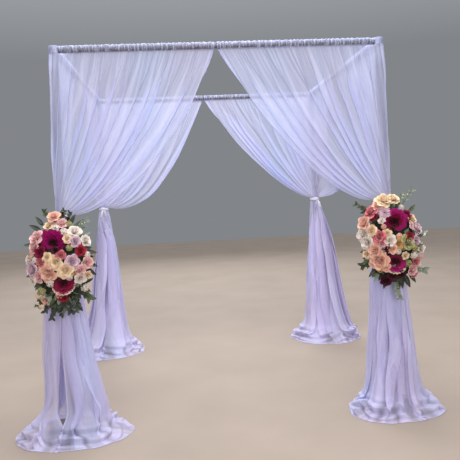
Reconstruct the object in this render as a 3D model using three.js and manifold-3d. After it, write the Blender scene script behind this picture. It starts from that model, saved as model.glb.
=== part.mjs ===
// A chuppah canopy: a square open frame of pipe, with sheer white drapes gathered on its top bars,
// tied back to the four posts and falling to puddles on the floor, and a flower spray on each front post.
// Millimetres, +X right, +Y away from the front, +Z up; the origin is the plan centre, on the ground.
import * as THREE from "three";
import { mergeVertices } from "three/addons/utils/BufferGeometryUtils.js";
import Module from "manifold-3d";

const wasm = await Module();
wasm.setup();

// Driving dimensions of the frame
const GAP = 0.3;
const HALF_SPAN = 1040;
const POST = { outer: 25, inner: 22, top: 2430, sides: 8 };
const SLOT = { width: 6.4, floor: 2385 };
const BASE = { side: 305, corner: 30, thick: 9.5, spigotHeight: 152, chamfer: 4 };
const BAR = { z: 2415, sleeve: 19, sleeveBore: 17, slider: 16.6, sliderBore: 14.4, sides: 6 };
const BAR_END = 28;
const SLIDER_LAP = 200;
const HOOK = { thick: 5.6, inner: 10, lip: 21.4, drop: 24, top: 2421 };

// Driving dimensions of the drapes
const POCKET = { skin: 4.4, drop: 62, end: 32 };
const SIDE_REACH = 720;
const CLOTH = 7;
const NECK = { z: 1370, cloth: 15, radius: 33.4 };
const TIE = { inner: 44, outer: 51, height: 30, sides: 8 };
const POST_CLEAR = { out: 38, from: 30, to: 130 };
const FOLD = { depth: 15, atBar: 0.6, nearPost: 0.35 };
const FRONT_SWAG = { reach: HALF_SPAN, swoop: 1, belly: 14, folds: 6, columns: 20 };
const SIDE_SWAG = { folds: 4, columns: 14 };
const SWAG_ROWS = 6;

// The inner handles of a fabric line's cubic curve: where they stand along the bar and how high
const THIGH = { z: 2050, share: 0.83 };
const KNEE = { z: 1720, innerHigh: 1620, innerLow: 1405, curve: 0.8, tight: 0.24, loose: 0.4 };

// Where a panel wraps the neck, in degrees from its bar, from its edge at the post to its free edge,
// and how far that edge runs past the post's centre. The front and back drapes hang before their posts.
const WRAP_OUTSIDE = { arc: [133, 15], pastPost: 30 };
const WRAP_BACK = { arc: [110, 15], pastPost: 10 };
const WRAP_BACK_SIDE = { arc: [145, 55], pastPost: 30 };
const TAIL = { neck: 42.5, neckEnd: 1340, flare: 150, curve: 0.8, puddle: 150, puddleHeight: 75 };
const TAIL_SHAPE = { spreadFrom: 200, foldsFrom: 1150 };
const TAIL_FOLDS = { sides: 20, count: 6, share: 0.07 };
const TAIL_RINGS = [0, 25, 70, 150, 320, 640, 1000, TAIL.neckEnd, NECK.z + TIE.height / 2];

// Colours and finishes
const finish = (color, roughness, metalness = 0) => ({ color, roughness, metalness });
const SHEER = finish(0xdcdcf2, 0.8);
const RIBBON = finish(0xe8e4f0, 0.55);
const PIPE = finish(0xc9c9cc, 0.4, 0.9);
const STEEL_PLATE = finish(0x3a3b3d, 0.6, 0.5);
const FOAM = finish(0x2f5a35, 0.9);
const LEAF = finish(0x24351f, 0.7);
const ROSE = finish(0xd9a9a4, 0.75);
const MAGENTA = finish(0x8a1650, 0.7);

// The four corners: signs of x and y, how far the tail leans at the floor, how far its puddle trails
// to the outer side, the inner side, the front and the back, and how the side drape swoops and bellies
const CORNERS = [
  { name: "front_left", x: -1, y: -1, lean: -10, puddle: [1.0, 1.12, 0.72, 0.95], swoop: 0.35, belly: 18 },
  { name: "front_right", x: 1, y: -1, lean: 18, puddle: [0.98, 0.86, 0.68, 0.95], swoop: 0.3, belly: 14 },
  { name: "back_left", x: -1, y: 1, lean: -8, puddle: [1.02, 0.9, 0.84, 0.92], swoop: 0.9, belly: 60 },
  { name: "back_right", x: 1, y: 1, lean: -42, puddle: [1.0, 0.86, 0.86, 0.92], swoop: 1.0, belly: 78 },
];

// Flower sprays, by the front corner that carries each: centre height, sideways shift, bloom places
const SPRAYS = [
  {
    name: "left", corner: 0, z: 1098, shift: 16, seed: 3,
    blooms: [{ name: "upper", x: -22, z: 142, r: 78 }, { name: "lower", x: 22, z: -120, r: 64 }],
  },
  {
    name: "right", corner: 1, z: 1098, shift: -32, seed: 11,
    blooms: [{ name: "upper", x: 0, z: 156, r: 82 }, { name: "lower", x: -7, z: -106, r: 68 }],
  },
];
const CAGE = { halfWidth: 48, back: 60, front: 165, low: -110, high: 215 };
const STRAP = { halfWidth: 14, out: 76, top: 1378, lap: 20 };
const CLUSTER = { width: 120, depth: 92, height: 232, out: 192, back: 146, roses: 15, rose: 47 };
const COLLAR = { out: 136, thick: 18, width: 130, height: 252, leaves: 12, leaf: 62 };
const ROOM = 500;

// Closed meshes and booleans

function toManifold(geometry) {
  const bare = geometry.clone().deleteAttribute("normal").deleteAttribute("uv");
  const merged = mergeVertices(bare, 1e-4);
  const mesh = new wasm.Mesh({
    numProp: 3,
    vertProperties: new Float32Array(merged.attributes.position.array),
    triVerts: new Uint32Array(merged.index.array),
  });
  return new wasm.Manifold(mesh);
}

function toGeometry(manifold) {
  const mesh = manifold.getMesh();
  const geometry = new THREE.BufferGeometry();
  geometry.setAttribute("position", new THREE.BufferAttribute(new Float32Array(mesh.vertProperties), 3));
  geometry.setIndex(new THREE.BufferAttribute(new Uint32Array(mesh.triVerts), 1));
  geometry.computeVertexNormals();
  return geometry;
}

const join = (...geometries) => toGeometry(geometries.map(toManifold).reduce((a, b) => a.add(b)));
const cut = (body, ...tools) =>
  toGeometry(tools.map(toManifold).reduce((a, b) => a.subtract(b), toManifold(body)));

function signedVolume(positions, index) {
  const [a, b, c] = [new THREE.Vector3(), new THREE.Vector3(), new THREE.Vector3()];
  let volume = 0;
  for (let i = 0; i < index.length; i += 3) {
    a.fromArray(positions, 3 * index[i]);
    b.fromArray(positions, 3 * index[i + 1]);
    c.fromArray(positions, 3 * index[i + 2]);
    volume += a.dot(b.cross(c)) / 6;
  }
  return volume;
}

// A closed body from corner points and triangles, with its faces turned outward
function closedBody(positions, index) {
  const flipped = signedVolume(positions, index) < 0;
  const turned = flipped ? index.map((_, i) => index[i - (i % 3) + (2 - (i % 3))]) : index;
  const geometry = new THREE.BufferGeometry();
  geometry.setAttribute("position", new THREE.Float32BufferAttribute(positions, 3));
  geometry.setIndex(turned);
  geometry.computeVertexNormals();
  return geometry;
}

// A sheet of cloth as a thin closed body: pointAt gives its middle surface, clothAt its thickness
function thickSheet(pointAt, clothAt, columns, rows) {
  const step = 1e-3;
  const positions = [];
  for (const side of [1, -1]) {
    for (let j = 0; j <= rows; j++) {
      for (let i = 0; i <= columns; i++) {
        const [u, v] = [i / columns, j / rows];
        const along = pointAt(Math.min(u + step, 1), v).sub(pointAt(Math.max(u - step, 0), v));
        const down = pointAt(u, Math.min(v + step, 1)).sub(pointAt(u, Math.max(v - step, 0)));
        const normal = along.cross(down).normalize();
        const point = pointAt(u, v).addScaledVector(normal, (side * clothAt(v)) / 2);
        positions.push(point.x, point.y, point.z);
      }
    }
  }
  const row = columns + 1;
  const layer = row * (rows + 1);
  const index = [];
  const quad = (a, b, c, d) => index.push(a, b, c, a, c, d);
  for (let j = 0; j < rows; j++) {
    for (let i = 0; i < columns; i++) {
      const k = j * row + i;
      quad(k, k + 1, k + row + 1, k + row);
      quad(layer + k, layer + k + row, layer + k + row + 1, layer + k + 1);
    }
  }
  for (let i = 0; i < columns; i++) {
    const end = rows * row + i;
    quad(i + 1, i, layer + i, layer + i + 1);
    quad(end, end + 1, layer + end + 1, layer + end);
  }
  for (let j = 0; j < rows; j++) {
    const left = j * row;
    const right = left + columns;
    quad(left, left + row, layer + left + row, layer + left);
    quad(right + row, right, layer + right, layer + right + row);
  }
  return closedBody(positions, index);
}

const circle = (radius) => new THREE.Shape().absarc(0, 0, radius, 0, 2 * Math.PI, false);

// A round tube or rod along +Z from z = 0
function pipe(outer, inner, length, segments) {
  const shape = circle(outer);
  if (inner > 0) shape.holes.push(new THREE.Path().absarc(0, 0, inner, 0, 2 * Math.PI, true));
  return new THREE.ExtrudeGeometry(shape, { depth: length, bevelEnabled: false, curveSegments: segments });
}

function block(x0, x1, y0, y1, z0, z1) {
  const box = new THREE.BoxGeometry(x1 - x0, y1 - y0, z1 - z0);
  return box.translate((x0 + x1) / 2, (y0 + y1) / 2, (z0 + z1) / 2);
}

// The object

const canopy = new THREE.Group();
canopy.name = "chuppah_canopy";

function addPiece(name, geometry, { color, roughness, metalness }) {
  const material = new THREE.MeshStandardMaterial({ color, roughness, metalness });
  const mesh = new THREE.Mesh(geometry, material);
  mesh.name = name;
  canopy.add(mesh);
  return mesh;
}

const atCorner = (mesh, corner) => mesh.position.set(corner.x * HALF_SPAN, corner.y * HALF_SPAN, 0);

// A steel floor plate with round corners and the spigot that the post slips over
function basePlate() {
  const [half, r] = [BASE.side / 2, BASE.corner];
  const plate = new THREE.Shape();
  plate.absarc(half - r, half - r, r, 0, Math.PI / 2, false);
  plate.absarc(r - half, half - r, r, Math.PI / 2, Math.PI, false);
  plate.absarc(r - half, r - half, r, Math.PI, 1.5 * Math.PI, false);
  plate.absarc(half - r, r - half, r, 1.5 * Math.PI, 2 * Math.PI, false);
  const slab = new THREE.ExtrudeGeometry(plate, { depth: BASE.thick, bevelEnabled: false, curveSegments: 2 });
  const [radius, top] = [POST.inner - 2 * GAP, BASE.thick + BASE.spigotHeight];
  const profile = [[0, 1], [radius, 1], [radius, top - BASE.chamfer], [radius - BASE.chamfer, top], [0, top]];
  const spigot = new THREE.LatheGeometry(profile.map(([x, y]) => new THREE.Vector2(x, y)), 2 * POST.sides);
  return join(slab, spigot.rotateX(Math.PI / 2));
}

// A tubular post, open at its foot for the spigot, with four slots in its crown for the bars' hooks
function post() {
  const foot = BASE.thick + GAP;
  const tube = pipe(POST.outer, POST.inner, POST.top - foot, POST.sides).translate(0, 0, foot);
  const [reach, half] = [POST.outer + 5, SLOT.width / 2];
  const slots = join(
    block(-reach, reach, -half, half, SLOT.floor, POST.top + 5),
    block(-half, half, -reach, reach, SLOT.floor, POST.top + 5),
  );
  return cut(tube, slots);
}

// One end of a top bar: a plug with a hook that drops through the post's slot into its bore.
// It is drawn along +X, with the post's centre at x = 0 and the bar leaving toward +X.
function barHook(radius) {
  const plug = pipe(radius, 0, 10, BAR.sides).rotateY(Math.PI / 2).translate(BAR_END, 0, BAR.z);
  const [half, floor] = [HOOK.thick / 2, SLOT.floor + GAP];
  const tongue = block(HOOK.inner, BAR_END + 3, -half, half, floor, HOOK.top);
  const lip = block(HOOK.inner, HOOK.lip, -half, half, floor - HOOK.drop, floor + 5);
  return join(plug, tongue, lip);
}

function barHalf(outer, bore, length) {
  const tube = pipe(outer, bore, length, BAR.sides).rotateY(Math.PI / 2).translate(BAR_END + 9, 0, BAR.z);
  return join(barHook(outer), tube);
}

const sleeveHalf = () => barHalf(BAR.sleeve, BAR.sleeveBore, HALF_SPAN - BAR_END - 9);
const sliderHalf = () => barHalf(BAR.slider, BAR.sliderBore, HALF_SPAN + SLIDER_LAP - BAR_END - 9);

// The rod pocket of a drape: cloth round the bar, drawn together under it to a seam.
// It is drawn along +X from the post's centre, like the bar.
function rodPocket(barRadius, reach) {
  const skin = BAR.sleeve + POCKET.skin;
  const bore = (barRadius + GAP) / Math.cos(Math.PI / (2 * BAR.sides));
  const outline = new THREE.Shape();
  outline.absarc(0, 0, skin, -0.12 * Math.PI, 1.12 * Math.PI, false);
  outline.quadraticCurveTo(-0.5 * skin, -0.6 * POCKET.drop, -6, -POCKET.drop);
  outline.lineTo(6, -POCKET.drop);
  outline.quadraticCurveTo(0.5 * skin, -0.6 * POCKET.drop, skin * 0.93, -0.37 * skin);
  outline.holes.push(new THREE.Path().absarc(0, 0, bore, 0, 2 * Math.PI, true));
  const depth = reach - POCKET.end;
  const sleeve = new THREE.ExtrudeGeometry(outline, { depth, bevelEnabled: false, curveSegments: BAR.sides });
  return sleeve.rotateX(Math.PI / 2).rotateZ(Math.PI / 2).translate(POCKET.end, 0, BAR.z);
}

// Drapes. A panel is worked out in its own axes: s runs along the bar from the post's centre, d outward.

const lerp = THREE.MathUtils.lerp;
const smooth = THREE.MathUtils.smoothstep;
const SWAG_TOP = BAR.z - POCKET.drop - GAP;

// A fabric line from the bar at s to the neck, as a cubic curve in the plane of the bar
function fabricLine(u, panel) {
  const { reach, swoop, wrap } = panel;
  const top = lerp(POCKET.end + 2, reach - CLOTH, u);
  const angle = THREE.MathUtils.degToRad(lerp(wrap.arc[0], wrap.arc[1], u));
  const foot = new THREE.Vector2(NECK.radius * Math.cos(angle), NECK.radius * Math.sin(angle));
  const innerKnee = lerp(KNEE.innerHigh, KNEE.innerLow, swoop);
  const kneeHeight = lerp(KNEE.z, innerKnee, Math.pow(u, KNEE.curve));
  const kneeReach = lerp(-wrap.pastPost, lerp(KNEE.tight, KNEE.loose, swoop) * reach, u);
  const thigh = lerp(-wrap.pastPost, THIGH.share * reach, u);
  return { top, foot, thigh, kneeReach, kneeHeight };
}

function panelPoint(u, v, panel) {
  const line = fabricLine(u, panel);
  const [a, b, c, d] = [(1 - v) ** 3, 3 * v * (1 - v) ** 2, 3 * v * v * (1 - v), v ** 3];
  const bottom = NECK.z + TIE.height / 2 + GAP;
  const s = a * line.top + b * line.thigh + c * line.kneeReach + d * line.foot.x;
  const z = a * (SWAG_TOP + 4) + b * THIGH.z + c * line.kneeHeight + d * bottom;
  const past = 1 - smooth(s, POST_CLEAR.from, POST_CLEAR.to);
  const rest = lerp(0, line.foot.y, smooth(v, 0.3, 1)) + panel.belly * Math.sin(Math.PI * v) ** 2;
  const clear = POST_CLEAR.out * smooth(v, 0, 0.12) * past * (1 - smooth(v, 0.86, 1));
  const roundPost = Math.sqrt(Math.max(NECK.radius ** 2 - s ** 2, 0));
  const depth = FOLD.depth * lerp(FOLD.atBar, 1, smooth(v, 0, 0.35)) * (1 - smooth(v, 0.55, 0.97));
  const fold = depth * lerp(1, FOLD.nearPost, past) * Math.sin(2 * Math.PI * panel.folds * u);
  return { s, d: Math.max(rest, clear, roundPost) + fold, z };
}

// A swag trimmed flat under the rod pocket, and clear of the ribbon and what it binds
function trimmed(swag, corner) {
  const [x, y, top] = [corner.x * HALF_SPAN, corner.y * HALF_SPAN, NECK.z + TIE.height / 2 + GAP];
  const ribbonRoom = pipe(TIE.outer + GAP, 0, 60, TIE.sides).translate(x, y, top - 60);
  const span = 2 * HALF_SPAN;
  return cut(swag, ribbonRoom, block(-span, span, -span, span, SWAG_TOP, SWAG_TOP + 50));
}

const clothAt = (v) => lerp(CLOTH, NECK.cloth, smooth(v, 0.7, 1));

// A drape of the front or back bar, which hangs on the front side of the posts
function frontSwag(corner) {
  const panel = { ...FRONT_SWAG, wrap: corner.y < 0 ? WRAP_OUTSIDE : WRAP_BACK };
  const at = (u, v) => {
    const p = panelPoint(u, v, panel);
    return new THREE.Vector3(corner.x * (HALF_SPAN - p.s), corner.y * HALF_SPAN - p.d, p.z);
  };
  return trimmed(thickSheet(at, clothAt, FRONT_SWAG.columns, SWAG_ROWS), corner);
}

// A drape of a side bar, which hangs on the outer side of the posts
function sideSwag(corner) {
  const wrap = corner.y < 0 ? WRAP_OUTSIDE : WRAP_BACK_SIDE;
  const panel = { ...SIDE_SWAG, reach: SIDE_REACH, swoop: corner.swoop, belly: corner.belly, wrap };
  const at = (u, v) => {
    const p = panelPoint(u, v, panel);
    return new THREE.Vector3(corner.x * (HALF_SPAN + p.d), corner.y * (HALF_SPAN - p.s), p.z);
  };
  return trimmed(thickSheet(at, clothAt, SIDE_SWAG.columns, SWAG_ROWS), corner);
}

// The tail: the bundle of folds that flares from the tie to the floor, where it spreads as a puddle
function tailRadius(height) {
  const fall = Math.max(1 - height / TAIL.neckEnd, 0);
  const puddle = height < TAIL.neckEnd ? TAIL.puddle * Math.exp(-height / TAIL.puddleHeight) : 0;
  return TAIL.neck + TAIL.flare * Math.pow(fall, TAIL.curve) + puddle;
}

function tailPoint(corner, angle, height, grow) {
  const [cos, sin] = [Math.cos(angle), Math.sin(angle)];
  const [outer, inner, front, back] = corner.puddle;
  const alongX = Math.sign(cos) === corner.x ? outer : inner;
  const alongY = sin < 0 ? front : back;
  const spread = 1 / Math.hypot(cos / alongX, sin / alongY);
  const flat = 1 - smooth(height, TAIL_SHAPE.spreadFrom, TAIL.neckEnd);
  const loose = 1 - smooth(height, TAIL_SHAPE.foldsFrom, TAIL.neckEnd);
  const fold = 1 + TAIL_FOLDS.share * loose * Math.cos(TAIL_FOLDS.count * angle + 2 * corner.x + corner.y);
  const r = tailRadius(height) * lerp(1, spread, flat) * fold + grow;
  const lean = Math.max(1 - height / TAIL.neckEnd, 0);
  return [
    corner.x * HALF_SPAN + r * cos - corner.lean * lean * corner.x,
    corner.y * HALF_SPAN + r * sin,
    height,
  ];
}

function tailBell(corner, grow = 0) {
  const { sides } = TAIL_FOLDS;
  const positions = [];
  for (const height of TAIL_RINGS) {
    for (let i = 0; i < sides; i++) {
      positions.push(...tailPoint(corner, (2 * Math.PI * i) / sides, height, grow));
    }
  }
  const last = TAIL_RINGS.length - 1;
  const top = TAIL_RINGS[last];
  positions.push(corner.x * HALF_SPAN, corner.y * HALF_SPAN, 0);
  positions.push(corner.x * HALF_SPAN, corner.y * HALF_SPAN, top);
  const floorCentre = sides * TAIL_RINGS.length;
  const topCentre = floorCentre + 1;
  const index = [];
  for (let i = 0; i < sides; i++) {
    const next = (i + 1) % sides;
    for (let j = 0; j < last; j++) {
      const [a, b] = [j * sides + i, j * sides + next];
      index.push(a, b, b + sides, a, b + sides, a + sides);
    }
    index.push(floorCentre, next, i);
    index.push(topCentre, last * sides + i, last * sides + next);
  }
  return closedBody(positions, index);
}

function tail(corner) {
  const [x, y] = [corner.x * HALF_SPAN, corner.y * HALF_SPAN];
  const bore = pipe(POST.outer + GAP, 0, NECK.z + 200, POST.sides).translate(x, y, -10);
  const half = BASE.side / 2 + GAP;
  const plateRoom = block(x - half, x + half, y - half, y + half, -5, BASE.thick + GAP);
  return cut(tailBell(corner), bore, plateRoom);
}

// The white ribbon tied round the neck of the drapes
const tieback = () =>
  pipe(TIE.outer, TIE.inner, TIE.height, TIE.sides).translate(0, 0, NECK.z - TIE.height / 2);

// Flower sprays. They are worked out with x to the right and z up from the spray's centre.

function ball(width, depth, height, x, y, z, columns = 7, rows = 4) {
  const sphere = new THREE.SphereGeometry(1, columns, rows).rotateX(Math.PI / 2);
  return sphere.scale(width, depth, height).translate(x, y, z);
}

// The lumpy mass of rose heads, spread over half an egg by the golden angle, with room for the big blooms
function roseHeads(spray, x, y) {
  const heads = [ball(CLUSTER.width, CLUSTER.depth, CLUSTER.height, x, y - CLUSTER.out, spray.z, 8, 5)];
  const turn = Math.PI * (3 - Math.sqrt(5));
  for (let i = 0; i < CLUSTER.roses; i++) {
    const share = Math.sqrt((i + 0.6) / CLUSTER.roses);
    const angle = i * turn + spray.seed;
    const [across, up] = [share * Math.cos(angle), share * Math.sin(angle)];
    const out = CLUSTER.out + 0.8 * CLUSTER.depth * Math.sqrt(1 - share * share);
    const r = CLUSTER.rose * (1 - 0.12 * Math.cos(3 * angle));
    const [dx, dz] = [across * CLUSTER.width * 1.05, up * CLUSTER.height * 1.02];
    const taken = spray.blooms.some((flower) => Math.hypot(dx - flower.x, dz - flower.z) < flower.r);
    if (!taken) heads.push(ball(r, r, r, x + dx, y - out, spray.z + dz));
  }
  return join(...heads);
}

function bloom(spray, flower, x, y, grow = 0) {
  const out = CLUSTER.out + 0.72 * CLUSTER.depth;
  const r = flower.r + grow;
  const [depth, place] = [0.55 * flower.r + grow, { x: x + flower.x, y: y - out, z: spray.z + flower.z }];
  return ball(r, depth, r, place.x, place.y, place.z, 10, 6);
}

function cage(spray, corner, x, y) {
  const body = block(
    x - CAGE.halfWidth, x + CAGE.halfWidth, y - CAGE.front, y - CAGE.back,
    spray.z + CAGE.low, spray.z + CAGE.high,
  );
  const middle = corner.x * HALF_SPAN;
  const strap = block(
    middle - STRAP.halfWidth, middle + STRAP.halfWidth, y - STRAP.out, y - TIE.inner,
    spray.z + CAGE.high - STRAP.lap, STRAP.top,
  );
  const ribbon = pipe(TIE.outer + GAP, 0, TIE.height + 2 * GAP, TIE.sides);
  ribbon.translate(corner.x * HALF_SPAN, y, NECK.z - TIE.height / 2 - GAP);
  return cut(join(body, strap), tailBell(corner, GAP), ribbon);
}

// The ring of leaves behind the flowers
function leafCollar(spray, x, y) {
  const parts = [ball(COLLAR.width, COLLAR.thick / 2, COLLAR.height, x, y - COLLAR.out, spray.z, 10, 6)];
  for (let i = 0; i < COLLAR.leaves; i++) {
    const angle = (2 * Math.PI * (i + 0.35)) / COLLAR.leaves + 0.2 * Math.sin(5 * i + spray.seed);
    const leaf = new THREE.OctahedronGeometry(1).scale(COLLAR.leaf, 7, 19).rotateY(-angle);
    const across = (COLLAR.width + 18) * Math.cos(angle);
    const up = (COLLAR.height + 18) * Math.sin(angle);
    parts.push(leaf.translate(x + across, y - COLLAR.out, spray.z + up));
  }
  return join(...parts);
}

function addSpray(spray) {
  const corner = CORNERS[spray.corner];
  const [x, y] = [corner.x * HALF_SPAN + spray.shift, corner.y * HALF_SPAN];
  const holder = cage(spray, corner, x, y);
  const holderRoom = block(
    x - CAGE.halfWidth - GAP, x + CAGE.halfWidth + GAP, y - CAGE.front - GAP, y,
    spray.z + CAGE.low - GAP, spray.z + CAGE.high + GAP,
  );
  const behind = (out) => block(x - ROOM, x + ROOM, y - out, y + ROOM, spray.z - ROOM, spray.z + ROOM);
  const tailRoom = tailBell(corner, GAP);
  const blooms = spray.blooms.map((flower) => bloom(spray, flower, x, y, GAP));
  addPiece(`${spray.name}_spray_cage`, holder, FOAM);
  addPiece(`${spray.name}_spray_leaves`, cut(leafCollar(spray, x, y), holderRoom, tailRoom), LEAF);
  const flowerRoom = [holderRoom, behind(Math.max(CLUSTER.back, COLLAR.out + COLLAR.thick)), ...blooms];
  addPiece(`${spray.name}_spray_roses`, cut(roseHeads(spray, x, y), ...flowerRoom), ROSE);
  for (const flower of spray.blooms) {
    addPiece(`${spray.name}_spray_${flower.name}_bloom`, bloom(spray, flower, x, y), MAGENTA);
  }
}

// The parts in place

for (const corner of CORNERS) {
  atCorner(addPiece(`${corner.name}_base`, basePlate(), STEEL_PLATE), corner);
  atCorner(addPiece(`${corner.name}_post`, post(), PIPE), corner);
  addPiece(`${corner.name}_swag`, frontSwag(corner), SHEER);
  addPiece(`${corner.name}_side_swag`, sideSwag(corner), SHEER);
  addPiece(`${corner.name}_tail`, tail(corner), SHEER);
  atCorner(addPiece(`${corner.name}_tieback`, tieback(), RIBBON), corner);
}

// Each bar: the corner where its sleeve starts, its turn about the vertical, and the two corners' names
const BARS = [
  { name: "front_bar", from: [-1, -1], turn: 0, ends: ["front_left", "front_right"], reach: HALF_SPAN },
  { name: "back_bar", from: [-1, 1], turn: 0, ends: ["back_left", "back_right"], reach: HALF_SPAN },
  { name: "left_bar", from: [-1, -1], turn: 90, ends: ["front_left", "back_left"], reach: SIDE_REACH },
  { name: "right_bar", from: [1, -1], turn: 90, ends: ["front_right", "back_right"], reach: SIDE_REACH },
];
for (const bar of BARS) {
  const turn = THREE.MathUtils.degToRad(bar.turn);
  const start = new THREE.Vector3(bar.from[0] * HALF_SPAN, bar.from[1] * HALF_SPAN, 0);
  const along = new THREE.Vector3(Math.cos(turn), Math.sin(turn), 0);
  const end = start.clone().addScaledVector(along, 2 * HALF_SPAN);
  const side = bar.turn ? "side_" : "";
  const put = (mesh, place, extra) => {
    mesh.position.copy(place);
    mesh.rotation.z = turn + extra;
  };
  put(addPiece(`${bar.name}_sleeve`, sleeveHalf(), PIPE), start, 0);
  put(addPiece(`${bar.name}_slider`, sliderHalf(), PIPE), end, Math.PI);
  const inset = bar.reach - GAP;
  put(addPiece(`${bar.ends[0]}_${side}pocket`, rodPocket(BAR.sleeve, inset), SHEER), start, 0);
  put(addPiece(`${bar.ends[1]}_${side}pocket`, rodPocket(BAR.slider, inset), SHEER), end, Math.PI);
}

for (const spray of SPRAYS) addSpray(spray);

export default canopy;
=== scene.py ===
"""A chuppah canopy: sheer white drapes on an open square frame of pipe, with flowers on its front posts.

Metres, +X right, +Y away from the front, +Z up. The frame gives the posts, ties and blooms their places.
"""

import math

import bpy
import numpy as np
from mathutils import Matrix, Vector


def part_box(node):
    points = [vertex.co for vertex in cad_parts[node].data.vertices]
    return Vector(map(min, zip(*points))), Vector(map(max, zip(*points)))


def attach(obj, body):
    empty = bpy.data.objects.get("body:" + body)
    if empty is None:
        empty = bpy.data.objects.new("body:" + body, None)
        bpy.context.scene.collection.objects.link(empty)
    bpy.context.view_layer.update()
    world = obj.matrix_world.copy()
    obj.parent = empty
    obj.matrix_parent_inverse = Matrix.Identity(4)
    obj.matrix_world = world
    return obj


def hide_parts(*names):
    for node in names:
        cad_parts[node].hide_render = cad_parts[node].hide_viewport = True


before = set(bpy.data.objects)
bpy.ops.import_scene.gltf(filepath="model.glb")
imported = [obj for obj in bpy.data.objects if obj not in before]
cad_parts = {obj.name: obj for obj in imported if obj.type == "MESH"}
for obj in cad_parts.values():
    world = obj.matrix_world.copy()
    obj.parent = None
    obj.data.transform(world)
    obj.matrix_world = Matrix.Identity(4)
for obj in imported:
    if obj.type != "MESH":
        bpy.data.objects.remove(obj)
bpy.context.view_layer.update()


def middle(node):
    low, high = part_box(node)
    return (low + high) / 2


# Taken from the frame
POST_AT = middle("front_right_post").x
POST_RADIUS = (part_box("front_right_post")[1].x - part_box("front_right_post")[0].x) / 2
TIE_Z = middle("front_left_tieback").z

# The bars' and drapes' sizes, the same as those of their solids
BAR_Z = 2.415
SLEEVE_RADIUS = 0.019
SIDE_REACH = 0.713
FRONT_REACH = 1.033
PARTING = -0.026
STITCH_Z = 2.3935
THIGH_Z = 2.050
KNEE_Z = 1.720
NECK_TOP = 1.385
NECK_END = 1.340
NECK_RADIUS = 0.0365
TAIL = {"neck": 0.0425, "flare": 0.150, "curve": 0.8, "puddle": 0.150, "puddle_height": 0.075}

# The cloth: its flat size, its hems, how far it stays from a post, and how it lies on the floor
FRONT_WIDTH = 1.37
SIDE_WIDTH = 1.0
HEM = 0.030
HEM_DEPTH = 0.0014
CLEARANCE = 0.004
PUDDLE_TOP = 0.125
PUDDLE_RINGS = 2.6
FLOOR_GAP = 0.0025

# By corner: its signs, the lean of the bundle at the floor, how far it spreads to the front and the back
# there, the swoop and belly of its side drape, how far the bundle spreads outward and inward at the heights
# of SPREAD_AT, and its deepest valleys: heading at VALLEY_HEIGHTS in degrees, depth, and width in degrees
SPREAD_AT = np.array([0.0, 0.06, 0.20, 0.60, 1.00, NECK_END])
VALLEY_HEIGHTS = (0.80, 0.10)
CORNERS = {
    "front_left": {
        "x": -1, "y": -1, "lean": -0.004, "front": 0.72, "back": 0.95, "swoop": 0.35, "belly": (0.014, 1.0),
        "outer": (1.00, 0.92, 0.76, 0.95, 1.06), "inner": (1.15, 1.04, 1.20, 1.05, 0.99),
        "valleys": [(306, 300, 0.026, 6), (334, 326, 0.030, 7), (216, 214, 0.016, 6)]},
    "front_right": {
        "x": 1, "y": -1, "lean": 0.018, "front": 0.68, "back": 0.95, "swoop": 0.30, "belly": (0.006, 1.0),
        "outer": (1.00, 0.93, 0.98, 0.95, 0.97), "inner": (0.82, 0.79, 0.82, 0.82, 0.95),
        "valleys": [(228, 200, 0.072, 9), (262, 236, 0.040, 7), (296, 276, 0.032, 7)]},
    "back_left": {
        "x": -1, "y": 1, "lean": -0.008, "front": 1.10, "back": 0.92, "swoop": 0.90, "belly": (0.060, 1.0),
        "outer": (1.02, 1.05, 1.08, 0.93, 0.82), "inner": (1.00, 0.92, 0.90, 0.93, 0.97),
        "valleys": [(280, 262, 0.064, 8), (312, 314, 0.026, 7)]},
    "back_right": {
        "x": 1, "y": 1, "lean": -0.075, "front": 1.04, "back": 0.92, "swoop": 1.30, "belly": (0.170, 2.4),
        "outer": (0.92, 1.04, 1.14, 1.15, 1.28), "inner": (1.10, 1.14, 1.12, 1.22, 1.10),
        "valleys": [(277, 268, 0.044, 7), (236, 228, 0.030, 7)]},
}

# By panel: its name, the heading of its bar from the post, the turn to the side that it hangs on, its arc
# round the neck, measured from the bar, and its arc below: the heading of its edge at the post at each of
# PART_HEIGHTS, where two panels can part, and the heading of its free edge. Arcs run from the edge at the
# post to the free edge, in degrees. Then the sweep, which drags the folds round near the floor, and for the
# front and back panels the two handles of the free edge's curve: distance from the post and height.
PART_HEIGHTS = (0.10, 0.18, 0.39, 0.62, 0.80)
PANELS = [
    ("front_left_drape", 0, -1, (133, 15), (260, 273, 270, 265, 261), 445, 14,
     ((0.822, 1.855), (0.259, 1.302))),
    ("front_left_side_drape", 90, 1, (133, 15), (264, 244, 256, 264, 267), 80, 6),
    ("front_right_drape", 180, 1, (133, 15), [306] * 5, 116, -22, ((0.815, 1.927), (0.306, 1.302))),
    ("front_right_side_drape", 450, -1, (133, 15), [296] * 5, 480, 8),
    ("back_left_drape", 360, -1, (148, 0), (262, 262, 267, 272, 274), 455, 12,
     ((0.549, 1.353), (0.279, 1.321))),
    ("back_left_side_drape", 270, -1, (160, 50), [90] * 5, 266, -8),
    ("back_right_drape", 180, 1, (148, 0), [342] * 5, 146, 12, ((0.893, 2.061), (0.311, 1.409))),
    ("back_right_side_drape", 270, 1, (160, 50), [512] * 5, 336, 8),
]


def lerp(a, b, t):
    return a + (b - a) * t


def smooth(x, low, high):
    t = np.clip((x - low) / (high - low), 0.0, 1.0)
    return t * t * (3 - 2 * t)


def waver(x, seed, waves=(1.0, 2.3, 4.1)):
    """A smooth, aimless curve between about -1 and 1."""
    random = np.random.default_rng(seed)
    total = 0
    for i, wave in enumerate(waves):
        total = total + np.sin(2 * np.pi * wave * x + random.uniform(0, 2 * np.pi)) / (1 + 0.5 * i)
    return total / 1.6


# Meshes

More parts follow.
